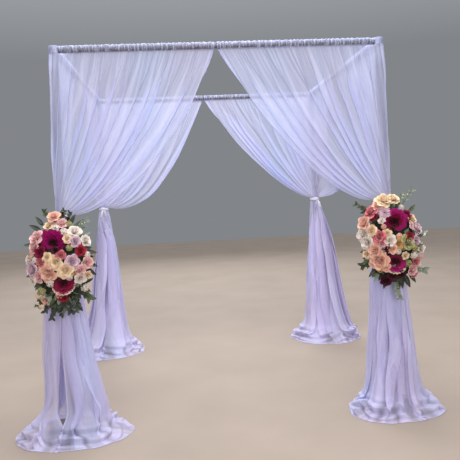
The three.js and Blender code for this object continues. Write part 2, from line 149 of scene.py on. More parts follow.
def stacked(*parts):
    """Coordinates spread to one grid and put together."""
    return np.stack(np.broadcast_arrays(*parts), axis=-1)


def grid_faces(rows, columns):
    k = np.arange(rows * columns).reshape(rows, columns)
    return np.stack([k[:-1, :-1], k[:-1, 1:], k[1:, 1:], k[1:, :-1]], axis=-1).reshape(-1, 4)


def grid_shape(points, uvs):
    """A shape is points, faces and UVs. This one is a grid."""
    return points.reshape(-1, 3), grid_faces(*points.shape[:2]), uvs.reshape(-1, 2)


def merged(shapes):
    points, faces, uvs, count = [], [], [], 0
    for p, f, t in shapes:
        points.append(p)
        faces.append(f + count)
        uvs.append(t)
        count += len(p)
    return np.vstack(points), np.vstack(faces), np.vstack(uvs)


def moved(points, matrix):
    m = np.array(matrix, float)
    return points @ m[:3, :3].T + m[:3, 3]


def mesh_object(name, points, faces, uvs, materials, material_of_face=None):
    mesh = bpy.data.meshes.new(name)
    mesh.from_pydata(np.asarray(points, float).tolist(), [], np.asarray(faces).tolist())
    corners = np.empty(len(mesh.loops), np.int32)
    mesh.loops.foreach_get("vertex_index", corners)
    layer = mesh.uv_layers.new(name="cloth")
    layer.data.foreach_set("uv", np.asarray(uvs, np.float32)[corners].ravel())
    for material in materials:
        mesh.materials.append(material)
    if material_of_face is not None:
        mesh.polygons.foreach_set("material_index", np.asarray(material_of_face, np.int32))
    mesh.polygons.foreach_set("use_smooth", np.ones(len(mesh.polygons), bool))
    mesh.update()
    piece = bpy.data.objects.new(name, mesh)
    bpy.context.scene.collection.objects.link(piece)
    return piece


def dress(piece, slot, *nodes):
    """Fixes a piece to the part, in place of the nodes that it replaces."""
    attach(piece, "root")
    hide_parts(*nodes)


class Heap:
    """Many small shapes gathered into one piece. A shape's kind picks its material."""

    def __init__(self):
        self.shapes, self.kinds = [], []

    def add(self, shape, matrix, kind=0):
        points, faces, uvs = shape
        self.shapes.append((moved(points, matrix), faces, uvs))
        self.kinds.append(np.full(len(faces), kind))

    def piece(self, name, materials):
        return mesh_object(name, *merged(self.shapes), materials, np.concatenate(self.kinds))


# Materials

def linear(red, green, blue):
    """A colour from its usual 0 to 255 numbers, with alpha."""
    channels = [c / 255 for c in (red, green, blue)]
    return tuple(c / 12.92 if c <= 0.04045 else ((c + 0.055) / 1.055) ** 2.4 for c in channels) + (1.0,)


class Nodes:
    """A material and short ways to add and join its nodes."""

    def __init__(self, name):
        self.material = bpy.data.materials.new(name)
        self.material.use_nodes = True
        self.tree = self.material.node_tree
        self.shader = self.tree.nodes["Principled BSDF"]
        place = self.add("ShaderNodeTexCoord")
        self.uv, self.at = place.outputs["UV"], place.outputs["Object"]

    def add(self, kind, inputs=(), **settings):
        node = self.tree.nodes.new(kind)
        for key, value in settings.items():
            setattr(node, key, value)
        for key, value in dict(inputs).items():
            if isinstance(value, bpy.types.NodeSocket):
                self.tree.links.new(value, node.inputs[key])
            else:
                node.inputs[key].default_value = value
        return node

    def mix(self, factor, a, b):
        return self.add("ShaderNodeMix", {0: factor, 6: a, 7: b}, data_type="RGBA").outputs[2]

    def blend(self, factor, a, b):
        return self.add("ShaderNodeMixShader", {0: factor, 1: a.outputs[0], 2: b.outputs[0]})

    def ramp(self, value, stops):
        node = self.add("ShaderNodeValToRGB", {0: value})
        elements = node.color_ramp.elements
        elements[0].position, elements[0].color = stops[0]
        elements[1].position, elements[1].color = stops[-1]
        for position, colour in stops[1:-1]:
            elements.new(position).color = colour
        return node.outputs[0]

    def tones(self, value, *stops):
        """A ramp of colours: each stop is a position and a colour's 0 to 255 numbers."""
        return self.ramp(value, [(stop[0], linear(*stop[1:])) for stop in stops])

    def fade(self, value, *stops):
        """A ramp of greys: each stop is a position and a grey."""
        return self.ramp(value, [(position, (grey, grey, grey, 1)) for position, grey in stops])

    def noise(self, vector, scale, detail=3.0, roughness=0.5):
        inputs = {"Vector": vector, "Scale": scale, "Detail": detail, "Roughness": roughness}
        return self.add("ShaderNodeTexNoise", inputs).outputs["Fac"]

    def stretched(self, vector, x, y, z):
        return self.add("ShaderNodeMapping", {"Vector": vector, "Scale": (x, y, z)}).outputs["Vector"]

    def streaks(self, across, along, detail=3.0, roughness=0.5):
        """Noise with so many waves to a unit across and along the UV."""
        return self.noise(self.stretched(self.uv, across, along, 1.0), 1.0, detail, roughness)

    def span(self, value, low, high, start=0.0, end=1.0):
        """A value that goes from low to high, as one that goes from start to end and stays between them."""
        return self.add("ShaderNodeMapRange", {0: value, 1: low, 2: high, 3: start, 4: end}).outputs[0]

    def work_out(self, operation, *values):
        return self.add("ShaderNodeMath", dict(enumerate(values)), operation=operation).outputs[0]

    def split(self, vector):
        return self.add("ShaderNodeSeparateXYZ", {0: vector}).outputs

    def bump(self, height, distance, strength=1.0, under=None):
        inputs = {"Height": height, "Distance": distance, "Strength": strength}
        if under is not None:
            inputs["Normal"] = under
        return self.add("ShaderNodeBump", inputs).outputs["Normal"]

    def finish(self, colour, normal=None, values=(), surface=None):
        """Sets the shader's colour, bump and own plain values, and what lies over it."""
        self.tree.links.new(colour, self.shader.inputs["Base Color"])
        if normal is not None:
            self.tree.links.new(normal, self.shader.inputs["Normal"])
        for name, value in dict(values).items():
            self.shader.inputs[name].default_value = value
        if surface is not None:
            self.tree.links.new(surface.outputs[0], self.tree.nodes["Material Output"].inputs["Surface"])
        return self.material


def sheer_cloth(name="sheer_voile", is_pocket=False, is_hem=False):
    """Voile: an open weave with slubs, a soft sheen, and light coming through it. It is thinner where it
    hangs from the bar than in the bundle below. Drawn up on the bar, it is close to opaque in the gathers and
    open between them, and a hem is double. Light is painted into its colour: the bundle below is painted
    lighter and pinker than the hanging swag, long streaks carry painted highlights, and the hem is painted
    darker as painted shade."""
    n = Nodes(name)
    tint = n.noise(n.stretched(n.at, 1.0, 1.0, 0.35), 2.6, 2.0)
    down = n.split(n.uv)["Y"]
    # Lit and shaded copies of one colour, as painted light: the hanging swag gets a darker, bluer tone and
    # the bundle below the tie a lighter, pinker one
    shaded_swag_tone = n.tones(tint, (0.30, 194, 193, 230), (0.52, 189, 196, 234), (0.72, 184, 199, 238))
    lit_bundle_tone = n.tones(tint, (0.30, 211, 199, 233), (0.52, 207, 200, 237), (0.72, 200, 204, 241))
    colour = n.mix(n.span(down, 0.90, 1.60), shaded_swag_tone, lit_bundle_tone)
    # The hem's colour is pulled darker: painted shade, standing in for the thick hem lying in shade
    if is_hem:
        colour = n.mix(0.16, colour, linear(150, 146, 146))
    # Painted highlights: long streaks lighten the colour where folds would catch the light; the same streaks
    # also vary how much the cloth covers
    highlight_and_cover_streak = n.streaks(30.0, 0.7)
    colour = n.mix(n.fade(highlight_and_cover_streak, (0.46, 0.0), (0.70, 0.42)), colour, linear(228, 228, 250))
    slub = n.streaks(900.0, 14.0, 2.0)
    colour = n.mix(n.fade(slub, (0.35, 0.0), (0.75, 0.35)), colour, linear(246, 244, 255))
    thread = {"Vector": n.uv, "Scale": 240.0, "Distortion": 1.2}
    across = n.add("ShaderNodeTexWave", {**thread, "Detail": 1.0}).outputs["Fac"]
    along = n.add("ShaderNodeTexWave", thread, bands_direction="Y").outputs["Fac"]
    crease = n.bump(n.streaks(26.0, 5.0, 4.0, 0.6), 0.004, 0.35)
    normal = n.bump(n.work_out("MAXIMUM", across, along), 0.0002, 0.5, crease)
    glow = n.add("ShaderNodeBsdfTranslucent", {"Color": colour, "Normal": normal})
    clear = n.add("ShaderNodeBsdfTransparent", {"Color": (1, 1, 1, 1)})
    least = 0.94 if is_hem else n.span(highlight_and_cover_streak, 0.36, 0.64, 0.48, 0.67)
    most = 0.95 if is_hem else n.span(n.streaks(11.0, 0.55, 2.0), 0.36, 0.62, 0.46, 0.93)
    cover = n.span(down, 0.95, 1.50, least, most)
    if is_pocket:
        gathers = n.fade(n.streaks(62.0, 9.0, 3.0, 0.6), (0.46, 0.08), (0.60, 0.70))
        over_the_bar = n.fade(down, (0.078, 0.90), (0.090, 0.0))
        past_the_post = n.span(n.split(n.uv)["X"], 0.02, 0.07, 0.42, 1.0)
        cover = n.work_out("MULTIPLY", n.work_out("MAXIMUM", gathers, over_the_bar), past_the_post)
    values = {"Roughness": 0.72, "Specular IOR Level": 0.25, "Sheen Weight": 0.25, "Sheen Roughness": 0.5}
    return n.finish(colour, normal, values, n.blend(cover, clear, n.blend(0.32, n.shader, glow)))


def satin_ribbon():
    n = Nodes("satin_ribbon")
    rib = n.streaks(60.0, 1800.0, 2.0)
    tone = n.tones(rib, (0.3, 200, 197, 216), (0.7, 222, 219, 236))
    return n.finish(tone, n.bump(rib, 0.0004, 0.4), {"Roughness": 0.38, "Sheen Weight": 0.3})


def brushed_tube(axis):
    """Aluminium tube with lines drawn along its axis, dull spots and a few handling marks. Its tones are
    painted darker than bare metal: painted shade for the cloth's shade round it.
    """
    n = Nodes(f"brushed_tube_{axis}")
    lines = n.noise(n.stretched(n.at, *[3.0 if a == axis else 700.0 for a in "xyz"]), 1.0, 3.0)
    marks = n.noise(n.stretched(n.at, *[9.0 if a == axis else 22.0 for a in "xyz"]), 1.0, 5.0, 0.65)
    # Both tone ramps are darker than bare aluminium: painted shade, not the metal's own colour
    line_tone = n.tones(lines, (0.3, 82, 83, 90), (0.7, 116, 117, 124))
    mark_tone = n.tones(marks, (0.35, 76, 76, 83), (0.65, 112, 113, 119))
    n.tree.links.new(n.span(marks, 0.0, 1.0, 0.42, 0.62), n.shader.inputs["Roughness"])
    return n.finish(n.mix(0.5, line_tone, mark_tone), n.bump(lines, 0.0002, 0.3), {"Metallic": 0.35})


def powder_coat():
    """Dark textured coat on the steel plates, rubbed paler in scattered patches."""
    n = Nodes("powder_coat")
    rub = n.noise(n.at, 14.0, 5.0, 0.65)
    tone = n.tones(rub, (0.42, 46, 47, 50), (0.62, 60, 61, 64), (0.74, 104, 104, 104))
    return n.finish(tone, n.bump(n.noise(n.at, 420.0, 2.0), 0.0006, 0.5), {"Roughness": 0.62})


def foam_brick():
    """Wet flower foam seen through its cage."""
    n = Nodes("flower_foam")
    cells = n.add("ShaderNodeTexVoronoi", {"Vector": n.at, "Scale": 260.0}).outputs["Distance"]
    tone = n.tones(n.noise(n.at, 30.0, 4.0), (0.35, 30, 62, 38), (0.65, 54, 96, 56))
    return n.finish(tone, n.bump(cells, 0.002, 0.8), {"Roughness": 0.95})


def moss_cover():
    n = Nodes("moss")
    tone = n.tones(n.noise(n.at, 60.0, 4.0), (0.35, 14, 18, 13), (0.65, 38, 46, 28))
    return n.finish(tone, n.bump(n.noise(n.at, 160.0, 3.0), 0.008, 0.9), {"Roughness": 0.9})


def petal(name, *tones):
    """A petal from its base to its rim, with fine veins along it and soft blotches."""
    n = Nodes(f"{name}_petal")
    base, tip, rim = [linear(*tone) for tone in tones]
    colour = n.ramp(n.split(n.uv)["Y"], [(0.05, base), (0.7, tip), (0.97, rim)])
    veins = n.streaks(26.0, 1.6)
    colour = n.mix(n.fade(veins, (0.35, 0.0), (0.7, 0.7)), colour, n.mix(0.35, colour, base))
    blotch = n.noise(n.at, 38.0, 2.0)
    colour = n.mix(n.fade(blotch, (0.4, 0.0), (0.8, 0.5)), colour, tip)
    glow = n.add("ShaderNodeBsdfTranslucent", {"Color": colour})
    sheen = 0.04 if name in ("red", "crimson", "magenta", "maroon") else 0.35
    values = {"Roughness": 0.62, "Specular IOR Level": 0.3, "Sheen Weight": sheen}
    return n.finish(colour, n.bump(veins, 0.0012, 0.5), values, n.blend(0.22, n.shader, glow))


def leaf_skin(name, dark, light):
    """A leaf with a pale midrib and side veins."""
    n = Nodes(f"{name}_leaf")
    off_middle = n.work_out("ABSOLUTE", n.work_out("SUBTRACT", n.split(n.uv)["X"], 0.5))
    tone = n.tones(n.noise(n.at, 22.0, 3.0), (0.35, *dark), (0.7, *light))
    tone = n.mix(n.fade(off_middle, (0.0, 0.8), (0.05, 0.0)), tone, linear(112, 124, 84))
    veins = {"Vector": n.stretched(n.uv, 0.8, 1.0, 1.0), "Scale": 4.0, "Distortion": 0.8}
    side = n.add("ShaderNodeTexWave", veins, bands_direction="DIAGONAL").outputs["Fac"]
    return n.finish(tone, n.bump(side, 0.0008, 0.5), {"Roughness": 0.45})


# The drapes' faces are of three kinds, in this order: plain cloth, the pocket and the hems down its edges
CLOTHS = [sheer_cloth(), sheer_cloth("gathered_voile", is_pocket=True),
          sheer_cloth("hemmed_voile_painted_shade", is_hem=True)]
PLAIN, POCKET, HEMMED = range(3)
SATIN = satin_ribbon()
TUBES = {axis: brushed_tube(axis) for axis in "xyz"}
COAT = powder_coat()
FOAM = foam_brick()

# Tones at the base, most of the way up and at the rim
PETAL_TONES = {
    "blush": ((190, 98, 108), (226, 168, 168), (244, 218, 212)),
    "peach": ((204, 106, 96), (228, 174, 148), (242, 212, 192)),
    "cream": ((214, 176, 132), (232, 204, 166), (240, 222, 194)),
    "white": ((198, 176, 152), (230, 216, 206), (244, 238, 232)),
    "lavender": ((156, 92, 116), (208, 170, 186), (232, 214, 220)),
    "rose": ((140, 26, 50), (196, 84, 100), (226, 148, 148)),
    "red": ((80, 6, 20), (150, 18, 46), (172, 40, 64)),
    "crimson": ((64, 2, 20), (122, 6, 46), (146, 14, 66)),
    "magenta": ((66, 0, 36), (148, 0, 90), (182, 6, 118)),
    "maroon": ((26, 4, 14), (66, 6, 30), (84, 14, 40)),
    "lime": ((104, 104, 54), (166, 160, 100), (190, 184, 130)),
    "gold": ((160, 102, 42), (204, 158, 92), (216, 180, 120)),
}
PETALS = {name: petal(name, *tones) for name, tones in PETAL_TONES.items()}
LEAVES = {
    "dark": leaf_skin("dark", (16, 24, 17), (32, 46, 28)),
    "mid": leaf_skin("mid", (36, 46, 28), (70, 82, 48)),
    "grey": leaf_skin("grey", (92, 106, 90), (142, 152, 134)),
    "moss": moss_cover(),
}


# Drapes. A panel is worked out as rows of points, from the back of its rod pocket to its hem on the floor.
# u runs across it from the post's edge to the free edge; s is the way along the bar, d the way outward.

class Panel:
    def __init__(self, order, name, heading, turn, neck, edge, free_edge, sweep, handles=None):
        self.name, self.heading, self.turn = name, heading, turn
        self.is_side = "side" in name
        self.corner_name = name.replace("_side", "").replace("_drape", "")
        self.corner = CORNERS[self.corner_name]
        self.seed = 10 * order + 1
        self.edge, self.free_edge = np.radians(edge), math.radians(free_edge)
        self.sweep, self.swing = math.radians(sweep), math.radians(free_edge - edge[0])
        self.reach = SIDE_REACH if self.is_side else FRONT_REACH - PARTING * self.corner["x"]
        self.belly, self.belly_low = self.corner["belly"] if self.is_side else (0.014, 1.0)
        # How far the edge at the post sags past it
        self.slack = 0.016 if name == "front_left_drape" else 0.0
        self.width = SIDE_WIDTH if self.is_side else FRONT_WIDTH
        self.columns = 170 if self.is_side else 250
        self.gathers, self.folds, self.ridges = (25, 8, 5) if self.is_side else (37, 12, 7)
        self.hem = HEM / self.width
        u = np.linspace(0.0, 1.0, self.columns)
        self.u = np.concatenate([[self.hem, self.hem / 2], u, [1 - self.hem / 2, 1 - self.hem]])[None, :]
        self.under = np.concatenate([[1, 1], np.zeros(self.columns), [1, 1]])[None, :]
        self.angle = np.radians(lerp(neck[0], neck[1], self.u))
        self.set_lines(handles or self.side_handles())

    def side_handles(self):
        swoop, reach = self.corner["swoop"], self.reach + 0.007
        return (0.83 * reach, THIGH_Z), (lerp(0.24, 0.40, swoop) * reach, lerp(1.620, 1.405, swoop))

    def set_lines(self, handles):
        """What each thread line of the swag needs: where it leaves the bar and its two handles."""
        (thigh_s, thigh_z), (knee_s, knee_z) = handles
        u, at_post = self.u, -0.030
        self.top = lerp(-0.028, self.reach, u)
        self.thigh_s, self.thigh_z = lerp(at_post - 0.6 * self.slack, thigh_s, u), lerp(THIGH_Z, thigh_z, u)
        self.knee_s, self.knee_z = lerp(at_post - 1.4 * self.slack, knee_s, u), lerp(KNEE_Z, knee_z, u ** 0.8)

    def phase(self, count, drift=0.0):
        """The fold phase across the panel, spaced unevenly."""
        warp = waver(self.u * count, self.seed + count, (0.14, 0.26, 0.37))
        return 2 * np.pi * (count * self.u + 0.36 * warp) + drift

    def own(self, count, low):
        """How strong each fold is, so that no two are alike."""
        return lerp(low, 1.0, 0.5 + 0.5 * waver(self.u * count, self.seed + 200 + count, (0.31, 0.53, 0.17)))

    def world(self, s, d, z):
        a = math.radians(self.heading)
        b = a + self.turn * math.pi / 2
        x = self.corner["x"] * POST_AT + s * math.cos(a) + d * math.cos(b)
        y = self.corner["y"] * POST_AT + s * math.sin(a) + d * math.sin(b)
        return stacked(x, y, z)

    def pocket(self, rows):
        """Cloth over the bar from the back of the stitch line to its front, and past the post."""
        turn = np.radians(np.linspace(265, -85, rows))[:, None]
        from_bottom = np.degrees(np.abs(np.abs(turn - math.pi / 2) - math.pi))
        drop = 1 - smooth(from_bottom, 4, 58)
        gather = self.phase(self.gathers, 0.5 * np.sin(turn))
        crush = 0.5 + 0.5 * waver(self.u * 9 + 0.2 * np.sin(turn), self.seed + 40)
        plain = smooth(self.top, 0.0, 0.09)
        loose = 0.0012 + plain * (0.0018 + 0.0018 * np.cos(gather) + 0.0016 * crush)
        radius = SLEEVE_RADIUS + 0.0012 + loose * (1 - 0.55 * drop)
        radius = radius + (BAR_Z - STITCH_Z - SLEEVE_RADIUS - 0.0012) * drop
        s = self.top + 0.0030 * plain * np.sin(2 * gather) * (1 - 0.5 * drop)
        d = radius * np.cos(turn)
        past = 1 - smooth(s, 0.020, 0.036)
        before_post = np.sqrt(np.maximum((POST_RADIUS + CLEARANCE) ** 2 - s ** 2, 0)) + 0.002
        return self.world(s, lerp(d, before_post + 0.05 * d, past), BAR_Z + radius * np.sin(turn))

    def swag(self, rows):
        """Cloth from the bar to the neck, with fine gathers that merge into long overlapping folds."""
        v = (np.linspace(0, 1, rows + 1)[1:, None]) ** 1.08
        a, b, c, e = (1 - v) ** 3, 3 * v * (1 - v) ** 2, 3 * v * v * (1 - v), v ** 3
        foot_s, foot_d = NECK_RADIUS * np.cos(self.angle), NECK_RADIUS * np.sin(self.angle)
        s = a * self.top + b * self.thigh_s + c * self.knee_s + e * foot_s
        z = a * STITCH_Z + b * self.thigh_z + c * self.knee_z + e * NECK_TOP
        past = 1 - smooth(s, 0.03, 0.13)
        belly = self.belly * smooth(self.u, -0.04, 0.30) * np.sin(np.pi * v ** self.belly_low) ** 2
        rest = lerp(0.004, foot_d, smooth(v, 0.3, 1)) + belly
        far = 0.0275 if self.is_side else 0.038
        clear = lerp(0.0265, far, smooth(v, 0, 0.12)) * past * (1 - smooth(v, 0.86, 1))
        round_neck = np.sqrt(np.maximum(NECK_RADIUS ** 2 - s ** 2, 0)) * smooth(v, 0.5, 0.9)
        calm = 1 - 0.62 * past
        drift = 0.7 * waver(v * 0.8 + self.u, self.seed + 70)
        across = np.linalg.norm(np.stack([np.ptp(s, axis=1), 0.3 * np.ptp(z, axis=1)]), axis=0)[:, None]
        pitch = across / self.folds
        own = self.own(self.folds, 0.62)
        lap = np.clip((1.3 * self.width / across - 0.1) / 4, 0.16, 0.95) * own * smooth(v, 0.02, 0.28)
        deep = np.minimum(0.010 * smooth(v, 0.02, 0.32), 0.34 * pitch) * own
        long_fold = self.phase(self.folds, drift)
        some = lerp(0.12, 1.0, smooth(waver(self.u * 7, self.seed + 33), -0.8, 1.0))
        fine = some * (0.0042 - 0.0024 * smooth(v, 0.10, 0.45)) * (1 - smooth(v, 0.74, 0.95))
        gather = self.phase(self.gathers, 0.4 * drift)
        out = calm * (fine * np.cos(gather) - deep * np.sin(long_fold))
        slide = calm * (0.4 * fine * np.sin(2 * gather) - lap * pitch * np.sin(long_fold))
        ahead = np.maximum(np.maximum(rest, clear), round_neck)
        round_post = smooth(v, 0.86, 1.0)
        along = lerp(1.0, np.sin(self.angle), round_post)
        outward = -round_post * np.cos(self.angle)
        return self.world(s + slide * along - out * outward, ahead + out * along + slide * outward, z)

    def arc(self, height):
        """World angle of each thread line at a height below the neck."""
        at_neck = np.radians(self.heading) + self.turn * self.angle
        at_floor = lerp(np.interp(height, PART_HEIGHTS, self.edge), self.free_edge, self.u)
        sweep = self.sweep * np.sin(np.pi * self.u) * (1 - smooth(height, 0.0, 0.5))
        return lerp(at_neck, at_floor, 1 - smooth(height, 1.06, 1.345)) + sweep

    def spread(self, angle, height):
        """How far the bundle reaches in each direction, as a share of tail_radius."""
        outer, inner = [profile(height, self.corner[side]) for side in ("outer", "inner")]
        along_x = np.where(np.sign(np.cos(angle)) == self.corner["x"], outer, inner)
        at_floor = 1 - smooth(height, 0.04, 0.5)
        along_y = lerp(0.93, np.where(np.sin(angle) < 0, self.corner["front"], self.corner["back"]), at_floor)
        along_y = lerp(along_y, 1.0, smooth(height, 0.5, NECK_END))
        return 1 / np.hypot(np.cos(angle) / along_x, np.sin(angle) / along_y)

    def round_post(self, angle, radius, height):
        lean = np.maximum(1 - height / NECK_END, 0) ** 0.7 * self.corner["lean"] * self.corner["x"]
        x = self.corner["x"] * POST_AT + radius * np.cos(angle) - lean
        y = self.corner["y"] * POST_AT + radius * np.sin(angle)
        return stacked(x, y, height)

    def valleys(self, angle, z, radius):
        """How far the deepest folds lie inward of the rest, each along a heading that drifts downward."""
        upper, lower = VALLEY_HEIGHTS
        total = 0.0
        for at_top, at_floor, depth, wide in self.corner["valleys"]:
            off = np.degrees(angle) - lerp(at_floor, at_top, smooth(z, lower, upper))
            off = (off + 180) % 360 - 180
            total = total + np.minimum(depth, 0.40 * radius) * np.exp(-np.abs(off / wide) ** 1.4)
        return total

    def pleats(self, radius, z, angle):
        """Overlapping folds round the post: how far out each thread line lies, and its turn aside."""
        around = radius.mean(axis=1, keepdims=True) * abs(self.swing)
        own = self.own(self.ridges, 0.55)
        parts_in_front = np.ptp(self.edge) > 0.15 and self.corner["y"] < 0
        at_edge = smooth(self.u, 0.0, 0.15 if parts_in_front else 0.05) * smooth(1 - self.u, 0.0, 0.05)
        drift = 0.9 * waver(z * 0.6 + 0.4 * self.u, self.seed + 80)
        lap = np.clip((1.35 * self.width / around - 0.1) / 4, 0.10, 1.0) * own * at_edge
        wave = self.phase(self.ridges, drift)
        deep = np.minimum(0.135 * radius, 0.024) * own
        broad = 0.070 * radius * waver(self.u * 3.1, self.seed + 60, (0.8, 1.4, 0.5))
        count = 2 * self.ridges + 3
        small = np.minimum(0.045 * radius, 0.0075) * self.own(count, 0.2)
        small = small * np.cos(self.phase(count, 2 * drift))
        tucked = 0.010 * (1 - at_edge) if self.is_side else 0.0
        out = broad + small - deep * np.sin(wave) - tucked - self.valleys(angle, z, radius)
        return out, -lap * np.sin(wave) * self.swing / self.ridges

    def tail(self, rows):
        """The bundle from the neck down to just above the floor."""
        z = np.linspace(NECK_TOP, PUDDLE_TOP, rows + 1)[1:, None]
        drawn_in = lerp(TAIL["neck"], NECK_RADIUS, smooth(z, NECK_END, NECK_TOP))
        radius = np.where(z > NECK_END, drawn_in, tail_radius(z))
        angle = self.arc(z)
        fall = 1 - smooth(z, 1.00, 1.33)
        wide = radius * self.spread(angle, z)
        out, turned = self.pleats(wide, z, angle)
        bundle = 0.0036 * (1 - fall) * np.cos(self.phase(self.folds))
        reach = wide + out * fall + bundle
        return self.round_post(angle + turned * fall, np.maximum(reach, POST_RADIUS + CLEARANCE), z)

    def puddle(self, rows):
        """The rest of the length on the floor, laid in rings that lap over each other and die away."""
        q = np.linspace(0, 1, rows + 1)[1:, None]
        z = PUDDLE_TOP * (1 - q) ** 2.2
        angle = self.arc(z)
        spread = self.spread(angle, z)
        out, turned = self.pleats(tail_radius(z) * spread, z, angle)
        fade = 1 - smooth(q, 0.05, 0.70)
        edge = tail_radius(0.0) * (1 + 0.035 * waver(self.u * 1.7, self.seed + 100)) * spread
        start = tail_radius(PUDDLE_TOP) * spread
        lively = 0.60 + 0.40 * waver(self.u * 1.3, self.seed + 110)
        offset = 1.05 * waver(self.u * 1.1, self.seed + 120, (1.0, 1.7, 2.3))
        wave = 2 * np.pi * (PUDDLE_RINGS * q + offset)
        live = np.sin(np.pi * q ** 0.85) * smooth(q, 0.0, 0.22) * lively
        ring = (edge - start) / PUDDLE_RINGS
        radius = lerp(start, edge, q ** 0.9) + out * fade - 0.54 * ring * live * np.sin(wave)
        lift = 0.015 * live * (1 - np.sin(wave))
        lumps = 0.007 * live * (1 + waver(self.u * 3.4 + 1.9 * q, self.seed + 130))
        crumple = 0.0032 * live * waver(self.u * 9 - 2.4 * q, self.seed + 140)
        crumple = crumple + 0.0016 * live * waver(self.u * 17 + 3.6 * q, self.seed + 150)
        tucked = 0.75 * (1 - smooth(self.u, 0.0, 0.07)) if self.is_side else 0.0
        height = z + (lift + lumps + crumple) * (1 - tucked) + FLOOR_GAP
        return self.round_post(angle + turned * fade, radius, np.maximum(height, FLOOR_GAP))

    def points(self):
        """All rows, with the hem turned back under the last of them and the side hems under the edges."""
        rows = 0.82 if self.is_side else 1.0
        self.pocket_rows = int(24 * rows)
        parts = [self.pocket(self.pocket_rows), self.swag(int(80 * rows)), self.tail(int(56 * rows)),
                 self.puddle(int(44 * rows))]
        points = np.vstack(parts)
        above, last = points[-4], points[-1]
        under_hem = np.array([0.0, 0.0, 0.0015])
        points = np.vstack([points, np.stack([(last + above) / 2 - under_hem, above - under_hem])])
        normal = np.cross(np.gradient(points, axis=1), np.gradient(points, axis=0))
        normal /= np.maximum(np.linalg.norm(normal, axis=-1, keepdims=True), 1e-9)
        return points - HEM_DEPTH * self.under[..., None] * normal


def profile(height, values):
    """A smooth curve through values at SPREAD_AT, with 1 at the neck."""
    values = np.append(values, 1.0)
    k = np.clip(np.searchsorted(SPREAD_AT, height) - 1, 0, len(SPREAD_AT) - 2)
    return lerp(values[k], values[k + 1], smooth(height, SPREAD_AT[k], SPREAD_AT[k + 1]))


def tail_radius(height):
    fall = np.maximum(1 - height / NECK_END, 0)
    puddle = TAIL["puddle"] * np.exp(-np.asarray(height) / TAIL["puddle_height"])
    return TAIL["neck"] + TAIL["flare"] * fall ** TAIL["curve"] + puddle


def hang_drape(shape):
    points = shape.points()
    rows = len(points)
    steps = np.linalg.norm(np.diff(points, axis=0, prepend=points[:1]), axis=-1)
    down = np.cumsum(steps, axis=0).mean(axis=1)
    edge = np.minimum(shape.u, 1 - shape.u)[0, 1:] <= shape.hem
    kind = np.tile(np.where(edge, HEMMED, PLAIN), (rows - 1, 1))
    kind[:shape.pocket_rows - 1] = POCKET
    cloth = grid_shape(points, stacked(shape.u * shape.width, down[:, None]))
    piece = mesh_object(shape.name, *cloth, CLOTHS, kind.ravel())
    corner = shape.corner_name
    front_or_back, left_or_right = corner.split("_")
    side, bar = ("side_", left_or_right) if shape.is_side else ("", front_or_back)
    nodes = [f"{corner}_{side}pocket", f"{corner}_{side}swag"]
    if not shape.is_side:
        nodes.append(f"{corner}_tail")
    dress(piece, "sheer_cloth", *nodes)


for order, panel in enumerate(PANELS):
    hang_drape(Panel(order, *panel))

# Ties: a ribbon wound twice round each gathered neck, knotted, with two short ends

RIBBON_WIDTH = 0.026
BAND_RADIUS = 0.0450
UP = np.array([0, 0, 1.0])


def ribbon_strip(path, across, widths, ripple=0.0, columns=7):
    """A strip along a path, with its width along the vectors in across."""
    x = np.linspace(-1, 1, columns)[None, :]
    normal = np.cross(np.gradient(path, axis=0), across)
    normal /= np.linalg.norm(normal, axis=1, keepdims=True)
    along = np.concatenate([[0], np.cumsum(np.linalg.norm(np.diff(path, axis=0), axis=1))])[:, None]
    crease = ripple * np.sin(5 * x + 160 * along) * np.cos(90 * along + 2 * x)
    aside = x[..., None] * 0.5 * widths[:, None, None] * across[:, None]
    points = path[:, None] + aside + crease[..., None] * normal[:, None]
    return grid_shape(points, stacked((x + 1) / 2 * RIBBON_WIDTH, along))


